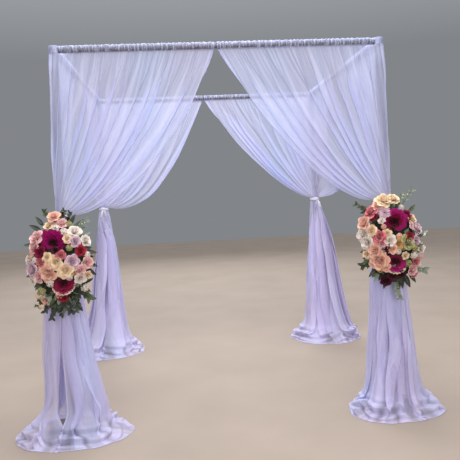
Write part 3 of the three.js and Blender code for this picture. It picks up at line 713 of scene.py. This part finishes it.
def tie_ribbon(corner):
    place = CORNERS[corner]
    seed = list(CORNERS).index(corner)
    random = np.random.default_rng(90 + seed)
    centre = np.array([place["x"] * POST_AT, place["y"] * POST_AT, TIE_Z])
    knot_at = math.radians(-90 if place["y"] > 0 else 90) + random.uniform(-0.25, 0.25)
    t = np.linspace(0, 1, 110)
    turn = knot_at + 4 * math.pi * t
    radius = BAND_RADIUS + 0.0018 * t + 0.0007 * np.sin(9 * turn + seed)
    rise = lerp(-0.0035, 0.0035, t) + 0.0022 * np.sin(turn + seed)
    tilt = 0.16 * np.sin(turn * 0.5 + seed)
    band = centre + stacked(radius * np.cos(turn), radius * np.sin(turn), rise)
    across = stacked(-np.sin(turn) * tilt, np.cos(turn) * tilt, np.ones_like(t))
    strips = [ribbon_strip(band, across, RIBBON_WIDTH * (0.86 + 0.10 * np.sin(3 * turn)), 0.0011)]
    out = np.array([math.cos(knot_at), math.sin(knot_at), 0.0])
    side = np.array([-math.sin(knot_at), math.cos(knot_at), 0.0])
    a = np.linspace(0, 2 * math.pi, 26)[:, None]
    knot = centre + out * (BAND_RADIUS + 0.004 + 0.0065 * np.cos(a)) + UP * 0.0115 * np.sin(a)
    strips.append(ribbon_strip(knot, np.tile(side, (26, 1)), 0.015 + 0.004 * np.sin(2 * a[:, 0]), 0.0014))
    for hand in (-1, 1):
        s = np.linspace(0, 1, 26)[:, None]
        length = random.uniform(0.070, 0.095)
        aside = hand * (0.004 + 0.020 * s ** 0.8)
        proud = BAND_RADIUS + 0.006 + 0.006 * np.sin(math.pi * s) + 0.004 * s
        end = centre + out * proud + side * aside - UP * (length * s + 0.004)
        twist = hand * (0.3 + 0.5 * s)
        across = side * np.cos(twist) + out * np.sin(twist)
        widths = RIBBON_WIDTH * lerp(0.45, 0.95, smooth(s[:, 0], 0, 0.45))
        strips.append(ribbon_strip(end, across, widths, 0.0012))
    piece = mesh_object(f"{corner}_ribbon", *merged(strips), [SATIN])
    dress(piece, "ribbon", f"{corner}_tieback")


for corner in CORNERS:
    tie_ribbon(corner)


# Flowers and leaves. Each is worked out about its own stem, which runs along +Z, with a head radius of 1.

GOLDEN_ANGLE = math.pi * (3 - math.sqrt(5))


def petal_grid(turn, base, reach, width, lean, cup=0.25, frill=0.0, up=0.0, rows=7, columns=5):
    """One petal: it starts base from the stem, leans off it from one angle to another, and cups across."""
    t, x = np.linspace(0, 1, rows)[:, None], np.linspace(-1, 1, columns)[None, :]
    angle = np.radians(lerp(lean[0], lean[1], t))
    between = (angle[1:] + angle[:-1]) / 2
    outward = np.vstack([[[0.0]], np.cumsum(np.sin(between), axis=0)]) / (rows - 1)
    upward = np.vstack([[[0.0]], np.cumsum(np.cos(between), axis=0)]) / (rows - 1)
    length = reach * (1 - 0.16 * x ** 2)
    half = 0.5 * width * np.sin(np.pi * (0.10 + 0.74 * t)) ** 0.7
    rise = cup * half * x ** 2 - frill * t ** 2 * np.sin(2.5 * np.pi * x + 7 * turn)
    r = np.maximum(base + length * outward - rise * np.cos(angle), 0.01)
    z = up + length * upward + rise * np.sin(angle)
    around = turn + x * half / np.maximum(r, 0.45 * half)
    return grid_shape(stacked(r * np.cos(around), r * np.sin(around), z), stacked((x + 1) / 2, t))


ROSE_RINGS = [  # petals, base, reach, width, lean
    (2, 0.03, 0.62, 0.50, (4, -22)),
    (3, 0.09, 0.66, 0.62, (6, -14)),
    (4, 0.16, 0.70, 0.78, (8, 0)),
    (5, 0.23, 0.74, 0.92, (14, 26)),
    (5, 0.28, 0.82, 1.10, (24, 66)),
    (6, 0.30, 0.88, 1.20, (40, 112)),
]


def rolled_heart():
    """The closed middle of a rose, a low dome with one groove winding round it."""
    t, a = np.linspace(0, 1, 6)[:, None], np.linspace(0, 2 * math.pi, 13)[None, :]
    r = 0.21 * np.sin(0.5 * np.pi * t) + 0.004
    z = 0.34 + 0.15 * np.cos(0.5 * np.pi * t) - 0.022 * np.cos(a + 9 * t) * np.sin(np.pi * t)
    uvs = stacked(a / (2 * math.pi), 0.30 + 0.25 * np.sin(a + 9 * t) ** 2)
    return grid_shape(stacked(r * np.cos(a), r * np.sin(a), z), uvs)


def rose(seed, rings=6):
    """An open garden rose: a rolled heart and rings of petals that open further and further."""
    random = np.random.default_rng(seed)
    petals = [rolled_heart()]
    for k, (count, base, reach, width, lean) in enumerate(ROSE_RINGS[:rings]):
        for i in range(count):
            turn = 2 * math.pi * (i + 0.5 * k) / count + 1.3 * k + random.uniform(-0.3, 0.3)
            open_by = random.uniform(-12, 12) * (k + 1) / 6
            size = random.uniform(0.86, 1.08)
            angles = (lean[0] + 0.6 * open_by, lean[1] + 1.4 * open_by)
            petals.append(petal_grid(turn, base, reach * size, width * size, angles, 0.20, 0.05 * k / 5))
    return merged(petals)


def full_bloom(seed, count, narrow=1.0, low=0.0, high=1.0):
    """A ball of many petals, from an upright heart, at share 0, to a ring that lies open, at share 1."""
    random = np.random.default_rng(seed)
    petals = []
    for i in range(count):
        f = math.sqrt((i + 0.5) / count)
        if not low <= f < high:
            continue
        lean = (lerp(-4, 58, f) + random.uniform(-7, 7), lerp(24, 112, f) + random.uniform(-9, 9))
        size = random.uniform(0.90, 1.08)
        reach, width = lerp(0.34, 0.66, f) * size, lerp(0.30, 0.50, f) * size * narrow
        petals.append(petal_grid(
            i * GOLDEN_ANGLE, 0.03 + 0.32 * f, reach, width, lean, 0.35, 0.02, 0.16 * (1 - f * f), 6))
    return merged(petals)


def floret_dome(seed, count=15):
    """A dome of small five-petalled florets."""
    random = np.random.default_rng(seed)
    shapes = []
    for i in range(count):
        lean, turn = math.sqrt((i + 0.5) / count) * 1.35, i * GOLDEN_ANGLE
        way = Vector((math.sin(lean) * math.cos(turn), math.sin(lean) * math.sin(turn), math.cos(lean)))
        petals = []
        for j in range(5):
            petals.append(petal_grid(j * 2 * math.pi / 5, 0.02, 0.27, 0.25, (58, 96), 0.3, 0, 0, 4, 3))
        points, faces, uvs = merged(petals)
        shapes.append((moved(points, facing(0.62 * way, way, random.uniform(0, 6))), faces, uvs))
    return merged(shapes)


def facing(place, way, roll=0.0, size=1.0):
    """The matrix that puts a shape's stem along a direction."""
    turn = Vector(way).to_track_quat("Z", "Y").to_matrix().to_4x4()
    return Matrix.Translation(place) @ turn @ Matrix.Rotation(roll, 4, "Z") @ Matrix.Scale(size, 4)


def leaf_grid(length, width, droop=30.0, fold=0.30, rows=9, columns=5):
    """A pointed leaf that grows along +Y with its face to +Z and bends down by droop degrees."""
    t, x = np.linspace(0, 1, rows)[:, None], np.linspace(-1, 1, columns)[None, :]
    angle = np.radians(-droop) * t
    along = np.vstack([[[0.0]], np.cumsum(np.cos(angle[1:]), axis=0)]) * length / (rows - 1)
    above = np.vstack([[[0.0]], np.cumsum(np.sin(angle[1:]), axis=0)]) * length / (rows - 1)
    half = 0.5 * width * np.sin(np.pi * np.clip(0.04 + 0.96 * t, 0, 1) ** 0.8) ** 0.9 + 0.0008
    z = above + fold * half * np.abs(x) + 0.06 * half * np.sin(9 * t)
    return grid_shape(stacked(x * half, along - 0.12 * half * np.abs(x), z), stacked((x + 1) / 2, t))


def growing(place, way, face):
    """The matrix that puts a leaf's length along way and turns its face to face as far as that allows."""
    along = Vector(way).normalized()
    side = along.cross(Vector(face)).normalized()
    basis = Matrix((side, along, side.cross(along))).transposed()
    return Matrix.Translation(place) @ basis.to_4x4()


def tube(path, radius, sides=6):
    """A thin tube along a list of points, with its ends closed by narrowing."""
    last, angles = len(path) - 1, np.linspace(0, 2 * math.pi, sides)
    rings = []
    for i, p in enumerate(path):
        ahead = (path[min(i + 1, last)] - path[max(i - 1, 0)]).normalized()
        side = ahead.orthogonal().normalized()
        up = ahead.cross(side)
        r = radius * (0.15 if i in (0, last) else 1.0)
        rings.append([p + r * (math.cos(a) * side + math.sin(a) * up) for a in angles])
    points = np.array([[list(p) for p in ring] for ring in rings])
    t, x = np.linspace(0, 1, len(path))[:, None], np.linspace(0, 1, sides)[None, :]
    return grid_shape(points, stacked(x, t))


# Flower sprays, by side. Places are in mm from the post and from the height of SPRAY_Z, across and up. The
# egg, which is shifted off the post, is the mass that the heads cover. Tilts turn the big blooms aside and
# up, and their tones run from the rim to the heart, with the skirt's last. A head has its colour, place and
# radius, and is a rose if it names no kind. A leaf has its place, its heading from the right in degrees, its
# length and its tone, if not dark. A sprig has the places of its start and end and its tone, if not mid.
SPRAY_Z = 1.095
EGG = {"out": 0.192, "width": 0.190, "depth": 0.088, "height": 0.250}
SPRAYS = {
    "left": {
        "x": -1, "shift": 0.016, "tilt": {"upper": (-0.10, -0.46), "lower": (0.06, 0.55)},
        "tones": {"upper": ("magenta", "magenta", "maroon", "blush"),
                  "lower": ("crimson", "crimson", "maroon", "blush")},
        "heads": [
            ("peach", -8, 286, 34), ("blush", 8, 254, 25), ("blush", 42, 240, 30), ("cream", -38, 230, 27),
            ("white", 7, 216, 30, "floret"), ("white", 56, 196, 30, "floret"), ("white", 114, 190, 36),
            ("lime", 78, 238, 26, "floret"), ("white", 176, 132, 32), ("lavender", 122, 132, 30),
            ("blush", -112, 166, 40), ("blush", -126, 112, 36), ("crimson", -84, 80, 32),
            ("red", 149, 77, 28), ("rose", 36, 58, 27), ("lime", 88, 100, 24, "floret"),
            ("lavender", -142, -22, 42), ("lavender", 101, 18, 36), ("blush", -101, -66, 30),
            ("blush", 184, 2, 32), ("peach", -44, -38, 48), ("cream", 8, 22, 40), ("cream", 60, -30, 42),
            ("rose", -84, 26, 26), ("white", 80, -74, 26, "floret"), ("gold", 106, -50, 20, "floret"),
            ("red", 34, -196, 30), ("peach", -78, -214, 28), ("lime", -92, -152, 30, "floret"),
            ("white", 160, -152, 30, "floret"), ("white", 142, -88, 30), ("cream", -34, 2, 30),
            ("blush", 146, -40, 28), ("maroon", 8, 88, 20), ("cream", -122, -186, 25, "floret"),
            ("white", -128, -222, 22, "floret"), ("cream", -106, -248, 21, "floret"),
            ("maroon", 46, 292, 16, "bud"), ("maroon", 74, 262, 16, "bud"), ("peach", 20, -176, 22),
        ],
        "leaves": [
            (-150, 60, 200, 78), (-128, 222, 150, 66), (-100, 262, 125, 60), (128, 226, 50, 84, "mid"),
            (150, 206, 22, 60, "grey"), (96, 262, 66, 60, "mid"), (30, 292, 80, 58, "mid"),
            (-40, 296, 118, 40, "mid"), (196, 60, -8, 66), (200, -16, -18, 64), (192, -60, -34, 70),
            (126, -176, -52, 66), (150, -150, -40, 84, "mid"), (74, -214, -100, 58), (-12, -226, -118, 56),
            (42, -226, -70, 52, "mid"), (96, -206, -84, 54), (14, -214, -60, 50),
            (-48, -216, -84, 54, "mid"), (-36, -276, -102, 90), (-20, -262, -84, 70),
            (-118, -126, 214, 70, "mid"), (-120, -170, 226, 64, "grey"), (-70, -226, 246, 66),
            (-160, -60, 190, 60, "mid"), (-168, 120, 172, 56, "mid"), (168, 168, 26, 60, "grey"),
        ],
        "sprigs": [
            (-16, -206, -46, -322, "dark"), (22, -214, 8, -296, "dark"), (60, -206, 64, -296, "dark"),
            (100, -190, 112, -262, "dark"), (-52, -206, -84, -276, "dark"), (40, -200, 34, -262),
            (84, -196, 92, -284), (-20, -196, -16, -268), (30, 262, 52, 312), (62, 240, 84, 300),
            (-52, 284, -66, 318), (110, 200, 176, 246, "grey"), (-96, -190, -128, -240),
            (140, -170, 178, -214),
        ],
    },
    "right": {
        "x": 1, "shift": -0.032, "tilt": {"upper": (-0.26, -0.26), "lower": (-0.06, 0.50)},
        "tones": {"upper": ("magenta", "crimson", "maroon", "blush"),
                  "lower": ("magenta", "crimson", "maroon", "cream")},
        "heads": [
            ("cream", -80, 284, 46), ("cream", -24, 292, 36), ("peach", -122, 256, 32),
            ("rose", -166, 220, 42), ("lavender", -89, 207, 38, "ball"), ("peach", -216, 148, 42),
            ("red", -158, 186, 28), ("white", -224, 76, 38), ("white", -208, 28, 38),
            ("rose", -142, 66, 37), ("white", -76, 38, 33), ("blush", -130, 22, 28),
            ("maroon", -118, -10, 28), ("peach", -170, -24, 43), ("peach", -149, -80, 54),
            ("lime", 36, 26, 44), ("gold", -27, 18, 31), ("peach", -68, -12, 28), ("crimson", 50, 184, 32),
            ("cream", 84, 164, 32), ("lavender", 108, 102, 38), ("white", 153, 56, 20, "bud"),
            ("lime", 84, -20, 32, "floret"), ("white", 78, -62, 31, "floret"), ("blush", 68, -154, 32),
            ("rose", 90, -184, 25), ("blush", 80, 122, 25), ("cream", -178, 104, 32),
            ("maroon", -100, -214, 32), ("maroon", -62, -180, 26), ("gold", -140, -140, 26, "floret"),
            ("red", 52, 60, 24), ("maroon", -10, -176, 24), ("lime", 40, -110, 26, "floret"),
            ("peach", -110, -120, 30), ("white", 30, 238, 22, "floret"),
        ],
        "leaves": [
            (-196, 240, 150, 78, "mid"), (-190, 214, 178, 64), (-160, 130, 182, 60),
            (-160, -164, 222, 72, "mid"), (-140, -196, 240, 60, "grey"), (-9, -240, -92, 74),
            (24, -236, -74, 84), (58, -232, -64, 88), (96, -216, -48, 66, "mid"), (120, 30, -14, 74, "mid"),
            (136, -40, -22, 70, "grey"), (130, -96, -34, 76, "grey"), (124, -130, -44, 62, "mid"),
            (-190, -110, 206, 74, "mid"), (-216, -30, 186, 40), (112, 226, 44, 60, "mid"),
            (146, 86, 8, 46, "mid"), (-30, 306, 96, 44, "grey"), (-88, -240, -110, 62),
            (20, 262, 70, 66, "mid"), (-4, -252, -84, 92, "mid"),
        ],
        "sprigs": [
            (10, 262, 52, 312, "grey"), (40, 250, 112, 344, "grey"), (-188, 226, -252, 262),
            (100, 70, 176, 62, "grey"), (-176, -96, -232, -116), (-20, -232, -10, -322, "grey"),
            (110, -150, 168, -166, "grey"),
        ],
    },
}
BLOOM_PETALS = 96
SKIRT_PETALS = 11
BACK_LEAVES = 34
FILLER_TRIES = 150
FILLER_COLOURS = ("blush", "cream", "white", "peach", "lavender", "rose", "white", "cream")


class Spray:
    """One flower spray: heads over the front of an egg, leaves round it, and stems back to the foam."""

    def __init__(self, side, spray):
        self.side, self.spray = side, spray
        self.random = np.random.default_rng(40 + spray["x"])
        self.post_x = spray["x"] * POST_AT
        self.middle = Vector((self.post_x + spray["shift"], -POST_AT - EGG["out"], SPRAY_Z))
        self.taken = []
        self.roses, self.foliage = Heap(), Heap()

    def spot(self, x, z, behind):
        """A listed place, in metres, so far behind the egg's middle."""
        return Vector((self.post_x + x / 1000, self.middle.y + behind, SPRAY_Z + z / 1000))

    def on_egg(self, x, z):
        """The place on the egg's front for a head, and the way that the head faces there."""
        across, up = x / 1000 - self.spray["shift"], z / 1000
        left = max(1 - (across / EGG["width"]) ** 2 - (up / EGG["height"]) ** 2, 0.02)
        way = Vector((0.85 * across / EGG["width"], -0.62 - 0.5 * math.sqrt(left), 0.75 * up / EGG["height"]))
        return self.spot(x, z, -EGG["depth"] * math.sqrt(left)), way.normalized()

    def head(self, colour, x, z, radius, kind="rose"):
        place, way = self.on_egg(x, z)
        size, seed = 1.20 * radius / 1000, int(self.random.integers(10000))
        way = (way + Vector(self.random.uniform(-0.16, 0.16, 3))).normalized()
        roll = self.random.uniform(0, 6)
        self.taken.append((place, size))
        grown = size
        if kind == "floret":
            shape, sunk = floret_dome(seed), 0.35
        elif kind == "ball":
            shape, sunk = full_bloom(seed, 60, 0.8), 0.1
        elif kind == "bud":
            shape, sunk, grown = rose(seed, 3), 0.3, size / 0.55
        else:
            shape, sunk = rose(seed), 0.3
        self.roses.add(shape, facing(place - sunk * size * way, way, roll, grown), list(PETALS).index(colour))
        self.stem(place - 0.3 * size * way)

    def stem(self, place):
        foot = Vector((lerp(self.middle.x, place.x, 0.2), -POST_AT - 0.15, lerp(SPRAY_Z, place.z, 0.45)))
        bend = lerp(place, foot, 0.5) + Vector((0, -0.012, 0.006))
        path = [place, lerp(place, bend, 0.5), bend, lerp(bend, foot, 0.5), foot]
        self.foliage.add(tube(path, 0.0021), Matrix.Identity(4), 1)

    def leaf(self, shape, place, way, face, tone):
        """A leaf, whose tone is a name or the order of one."""
        kind = list(LEAVES).index(tone) if isinstance(tone, str) else tone
        self.foliage.add(leaf_grid(*shape), growing(place, way, face), kind)

    def filler_heads(self):
        """Small heads and leaves in the gaps that the listed heads leave, also round the sides."""
        for i in range(FILLER_TRIES):
            f, turn = math.sqrt((i + 0.5) / FILLER_TRIES), i * GOLDEN_ANGLE
            x = (f * math.cos(turn) * EGG["width"] * 0.97 + self.spray["shift"]) * 1000
            z = f * math.sin(turn) * EGG["height"] * 0.93 * 1000
            place, way = self.on_egg(x, z)
            size = self.random.uniform(0.019, 0.028)
            pick = int(self.random.integers(len(FILLER_COLOURS)))
            near = min((place - other).length - r for other, r in self.taken)
            if near > 0.30 * size and z > -135:
                self.head(FILLER_COLOURS[pick], x, z, 1000 * size, "floret" if pick % 3 == 0 else "rose")
            elif near > -0.012 and (i % 2 or z < -135):
                self.tuck_leaf(place, way)

    def tuck_leaf(self, place, way):
        """A leaf between heads, of which the outer half shows."""
        along = (way + Vector(self.random.uniform(-0.9, 0.9, 3))).normalized()
        length = self.random.uniform(0.040, 0.058)
        tone = int(self.random.integers(3))
        self.leaf((length, 0.42 * length, 35), place - 0.024 * way, along, way.orthogonal(), tone)

    def rim_leaf(self, x, z, angle, length, tone="dark"):
        """A long leaf that shows past the heads."""
        a = math.radians(angle)
        out = Vector((math.cos(a), -0.10 + self.random.uniform(-0.15, 0.15), math.sin(a)))
        length = length / 1000
        start = self.spot(x, z, 0.02) + 0.4 * length * out - length * out.normalized()
        face = Vector((0.3 * self.random.uniform(-1, 1), -1, 0.35))
        self.leaf((1.15 * length, 0.40 * length, 24), start, out, face, tone)
        self.stem(start)

    def sprig(self, start_x, start_z, end_x, end_z, tone="mid"):
        """A thin stem with small leaves in pairs, and white buds where the leaves are grey."""
        a, b = self.spot(start_x, start_z, 0.01), self.spot(end_x, end_z, 0.01)
        path = [lerp(a, self.middle, 0.45), a, lerp(a, b, 0.35), lerp(a, b, 0.7), b]
        self.foliage.add(tube(path, 0.0015), Matrix.Identity(4), 1)
        ahead = (b - a).normalized()
        side = ahead.cross(Vector((0, -1, 0))).normalized()
        pairs, longest, droop = (5, 0.044, 14) if b.z < a.z else (4, 0.032, 20)
        for t in np.linspace(0.05, 0.95, pairs):
            for hand in (-1, 1):
                aside = hand * self.random.uniform(0.25, 1.1)
                way = ahead * self.random.uniform(0.6, 1.2) + side * aside
                way = way + Vector((0, self.random.uniform(-0.7, 0.3), 0))
                length = self.random.uniform(0.022, longest)
                root = lerp(a, b, min(t + self.random.uniform(-0.09, 0.09), 1.0))
                face = Vector((self.random.uniform(-0.6, 0.6), -1, 0.2))
                self.leaf((length, 0.52 * length, droop, 0.3, 6, 3), root, way.normalized(), face, tone)
        if tone == "grey":
            for t in (0.55, 0.8, 1.0):
                bud = rose(int(self.random.integers(1000)), 3)
                place = lerp(a, b, t) + Vector(self.random.uniform(-0.006, 0.006, 3))
                self.roses.add(bud, facing(place, ahead, 0, 0.015), list(PETALS).index("white"))

    def moss(self):
        """The dark mass of leaves and moss under the heads."""
        t, x = np.linspace(0.02, math.pi - 0.02, 22)[:, None], np.linspace(0, 2 * math.pi, 34)[None, :]
        lump = 1 + 0.07 * np.sin(5 * x + 4 * t) * np.sin(t) + 0.05 * np.sin(9 * x - 6 * t) * np.sin(t)
        rx, ry, rz = 0.74 * EGG["width"], 0.66 * EGG["depth"], 0.86 * EGG["height"]
        points = stacked(
            rx * lump * np.sin(t) * np.cos(x), ry * lump * np.sin(t) * np.sin(x), rz * lump * np.cos(t))
        place = Matrix.Translation(self.middle + Vector((0, 0.012, 0)))
        self.foliage.add(grid_shape(points, stacked(x, t)), place, list(LEAVES).index("moss"))

    def back_leaves(self):
        """Leaves laid outward behind the heads, close to the drape."""
        for i in range(BACK_LEAVES):
            a = i * GOLDEN_ANGLE
            out = Vector((math.cos(a), self.random.uniform(-0.1, 0.12), math.sin(a)))
            start = self.middle + Vector((0.10 * math.cos(a), 0.045, 0.17 * math.sin(a)))
            length = self.random.uniform(0.070, 0.098)
            face = Vector((0, -1 if i % 3 else 1, 0.3))
            self.leaf((length, 0.42 * length, 22), start, out, face, int(self.random.integers(3)))

    def bloom(self, name):
        """One of the big blooms, in the place of its solid, the lower one with a skirt of paler petals."""
        node = f"{self.side}_spray_{name}_bloom"
        low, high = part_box(node)
        radius = (high.x - low.x) / 2
        centre = Vector(((low.x + high.x) / 2, high.y - 0.004, (low.z + high.z) / 2))
        aside, up = self.spray["tilt"][name]
        way = Vector((aside, -1, up)).normalized()
        heap, place = Heap(), facing(centre, way, 0.4, 1.10 * radius)
        for low_share, high_share, kind in ((0.0, 0.34, 2), (0.34, 0.56, 1), (0.56, 1.0, 0)):
            heap.add(full_bloom(7 + len(name), BLOOM_PETALS, 1.0, low_share, high_share), place, kind)
        self.taken.append((Vector((centre.x, (low.y + high.y) / 2, centre.z)), radius * 0.95))
        if name == "lower":
            for i in range(SKIRT_PETALS):
                skirt = petal_grid(math.radians(190 + 16 * i), 0.40, 0.76, 0.66, (62, 84), 0.3, 0.04)
                heap.add(skirt, facing(centre + Vector((0, 0.006, -0.006)), way, 0, radius), 3)
        tones = [PETALS[tone] for tone in self.spray["tones"][name]]
        dress(heap.piece(f"{self.side}_{name}_bloom", tones), "magenta_petals", node)
        self.stem(centre + Vector((0, 0.01, 0)))

    def make(self):
        self.moss()
        self.bloom("upper")
        self.bloom("lower")
        for head in self.spray["heads"]:
            self.head(*head)
        self.filler_heads()
        for leaf in self.spray["leaves"]:
            self.rim_leaf(*leaf)
        for sprig in self.spray["sprigs"]:
            self.sprig(*sprig)
        self.back_leaves()
        roses = self.roses.piece(f"{self.side}_rose_heads", list(PETALS.values()))
        foliage = self.foliage.piece(f"{self.side}_foliage", list(LEAVES.values()))
        dress(roses, "rose_petals", f"{self.side}_spray_roses")
        dress(foliage, "leaves", f"{self.side}_spray_leaves")


for side, spray in SPRAYS.items():
    Spray(side, spray).make()

# The frame's own solids keep their shapes and get a better finish
for name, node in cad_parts.items():
    finish = None
    if name.endswith("_post"):
        finish = TUBES["z"]
    elif name.endswith(("_sleeve", "_slider")):
        finish = TUBES["x" if name.startswith(("front", "back")) else "y"]
    elif name.endswith("_base"):
        finish = COAT
    elif name.endswith("_cage"):
        finish = FOAM
    if finish:
        for slot in node.material_slots:
            slot.material = finish


# Floor, light and camera

def stage_floor():
    n = Nodes("pale_floor")
    tone = n.tones(n.noise(n.at, 1.5, 3.0), (0.3, 151, 136, 123), (0.7, 159, 143, 130))
    n.finish(tone, None, {"Roughness": 0.85})
    half = 14.0
    corners = np.array([(-half, -half, 0), (half, -half, 0), (half, half, 0), (-half, half, 0)], float)
    mesh_object("floor", corners, [(0, 1, 2, 3)], corners[:, :2], [n.material])


def soft_light(name, place, aim, size, power, colour):
    lamp = bpy.data.lights.new(name, "AREA")
    lamp.shape, lamp.size, lamp.energy, lamp.color = "DISK", size, power, colour
    light = bpy.data.objects.new(name, lamp)
    light.location = place
    light.rotation_euler = (Vector(aim) - Vector(place)).to_track_quat("-Z", "Y").to_euler()
    bpy.context.scene.collection.objects.link(light)


def studio():
    """An even sky, mid grey at the horizon and bright overhead, with soft lights in front and behind."""
    world = bpy.data.worlds.new("studio")
    world.use_nodes = True
    nodes, links = world.node_tree.nodes, world.node_tree.links
    at = nodes.new("ShaderNodeTexCoord")
    split = nodes.new("ShaderNodeSeparateXYZ")
    sky = nodes.new("ShaderNodeValToRGB")
    links.new(at.outputs["Generated"], split.inputs[0])
    links.new(split.outputs["Z"], sky.inputs[0])
    stops = sky.color_ramp.elements
    stops[0].position, stops[0].color = 0.22, (0.225, 0.235, 0.25, 1)
    stops[1].position, stops[1].color = 0.80, (0.82, 0.86, 0.90, 1)
    links.new(sky.outputs[0], nodes["Background"].inputs["Color"])
    nodes["Background"].inputs["Strength"].default_value = 1.0
    bpy.context.scene.world = world
    soft_light("overhead", (0.0, -1.3, 5.6), (0, 0.4, 0.6), 4.0, 330, (0.95, 0.97, 1.0))
    soft_light("front", (0.0, -13.0, 3.6), (0, 0, 0.6), 8.0, 900, (1.0, 0.98, 0.99))
    soft_light("behind", (0.0, 7.0, 5.4), (0, 0, 1.4), 6.0, 360, (0.93, 0.96, 1.0))
    bpy.context.scene.view_settings.view_transform = "Standard"


# Solved from the posts and bars in the photograph, in its pixels and degrees
PHOTO_SIZE = 460
FOCAL_PIXELS = 600
HORIZON_ROW = 193
CAMERA_AT = (-0.292, -4.87, 1.468)
YAW, ROLL = math.radians(4.7), math.radians(-2.7)


def add_camera():
    data = bpy.data.cameras.new("camera")
    data.sensor_width = 36.0
    data.lens = FOCAL_PIXELS / PHOTO_SIZE * data.sensor_width
    data.shift_y = (HORIZON_ROW - PHOTO_SIZE / 2) / PHOTO_SIZE
    camera = bpy.data.objects.new("camera", data)
    ahead = Vector((math.sin(YAW), math.cos(YAW), 0))
    right = Vector((math.cos(YAW), -math.sin(YAW), 0))
    up = Vector((0, 0, 1))
    turned_right = right * math.cos(ROLL) + up * math.sin(ROLL)
    turned_up = up * math.cos(ROLL) - right * math.sin(ROLL)
    basis = Matrix((turned_right, turned_up, -ahead)).transposed()
    camera.matrix_world = Matrix.Translation(CAMERA_AT) @ basis.to_4x4()
    bpy.context.scene.collection.objects.link(camera)
    bpy.context.scene.camera = camera


stage_floor()
studio()
add_camera()
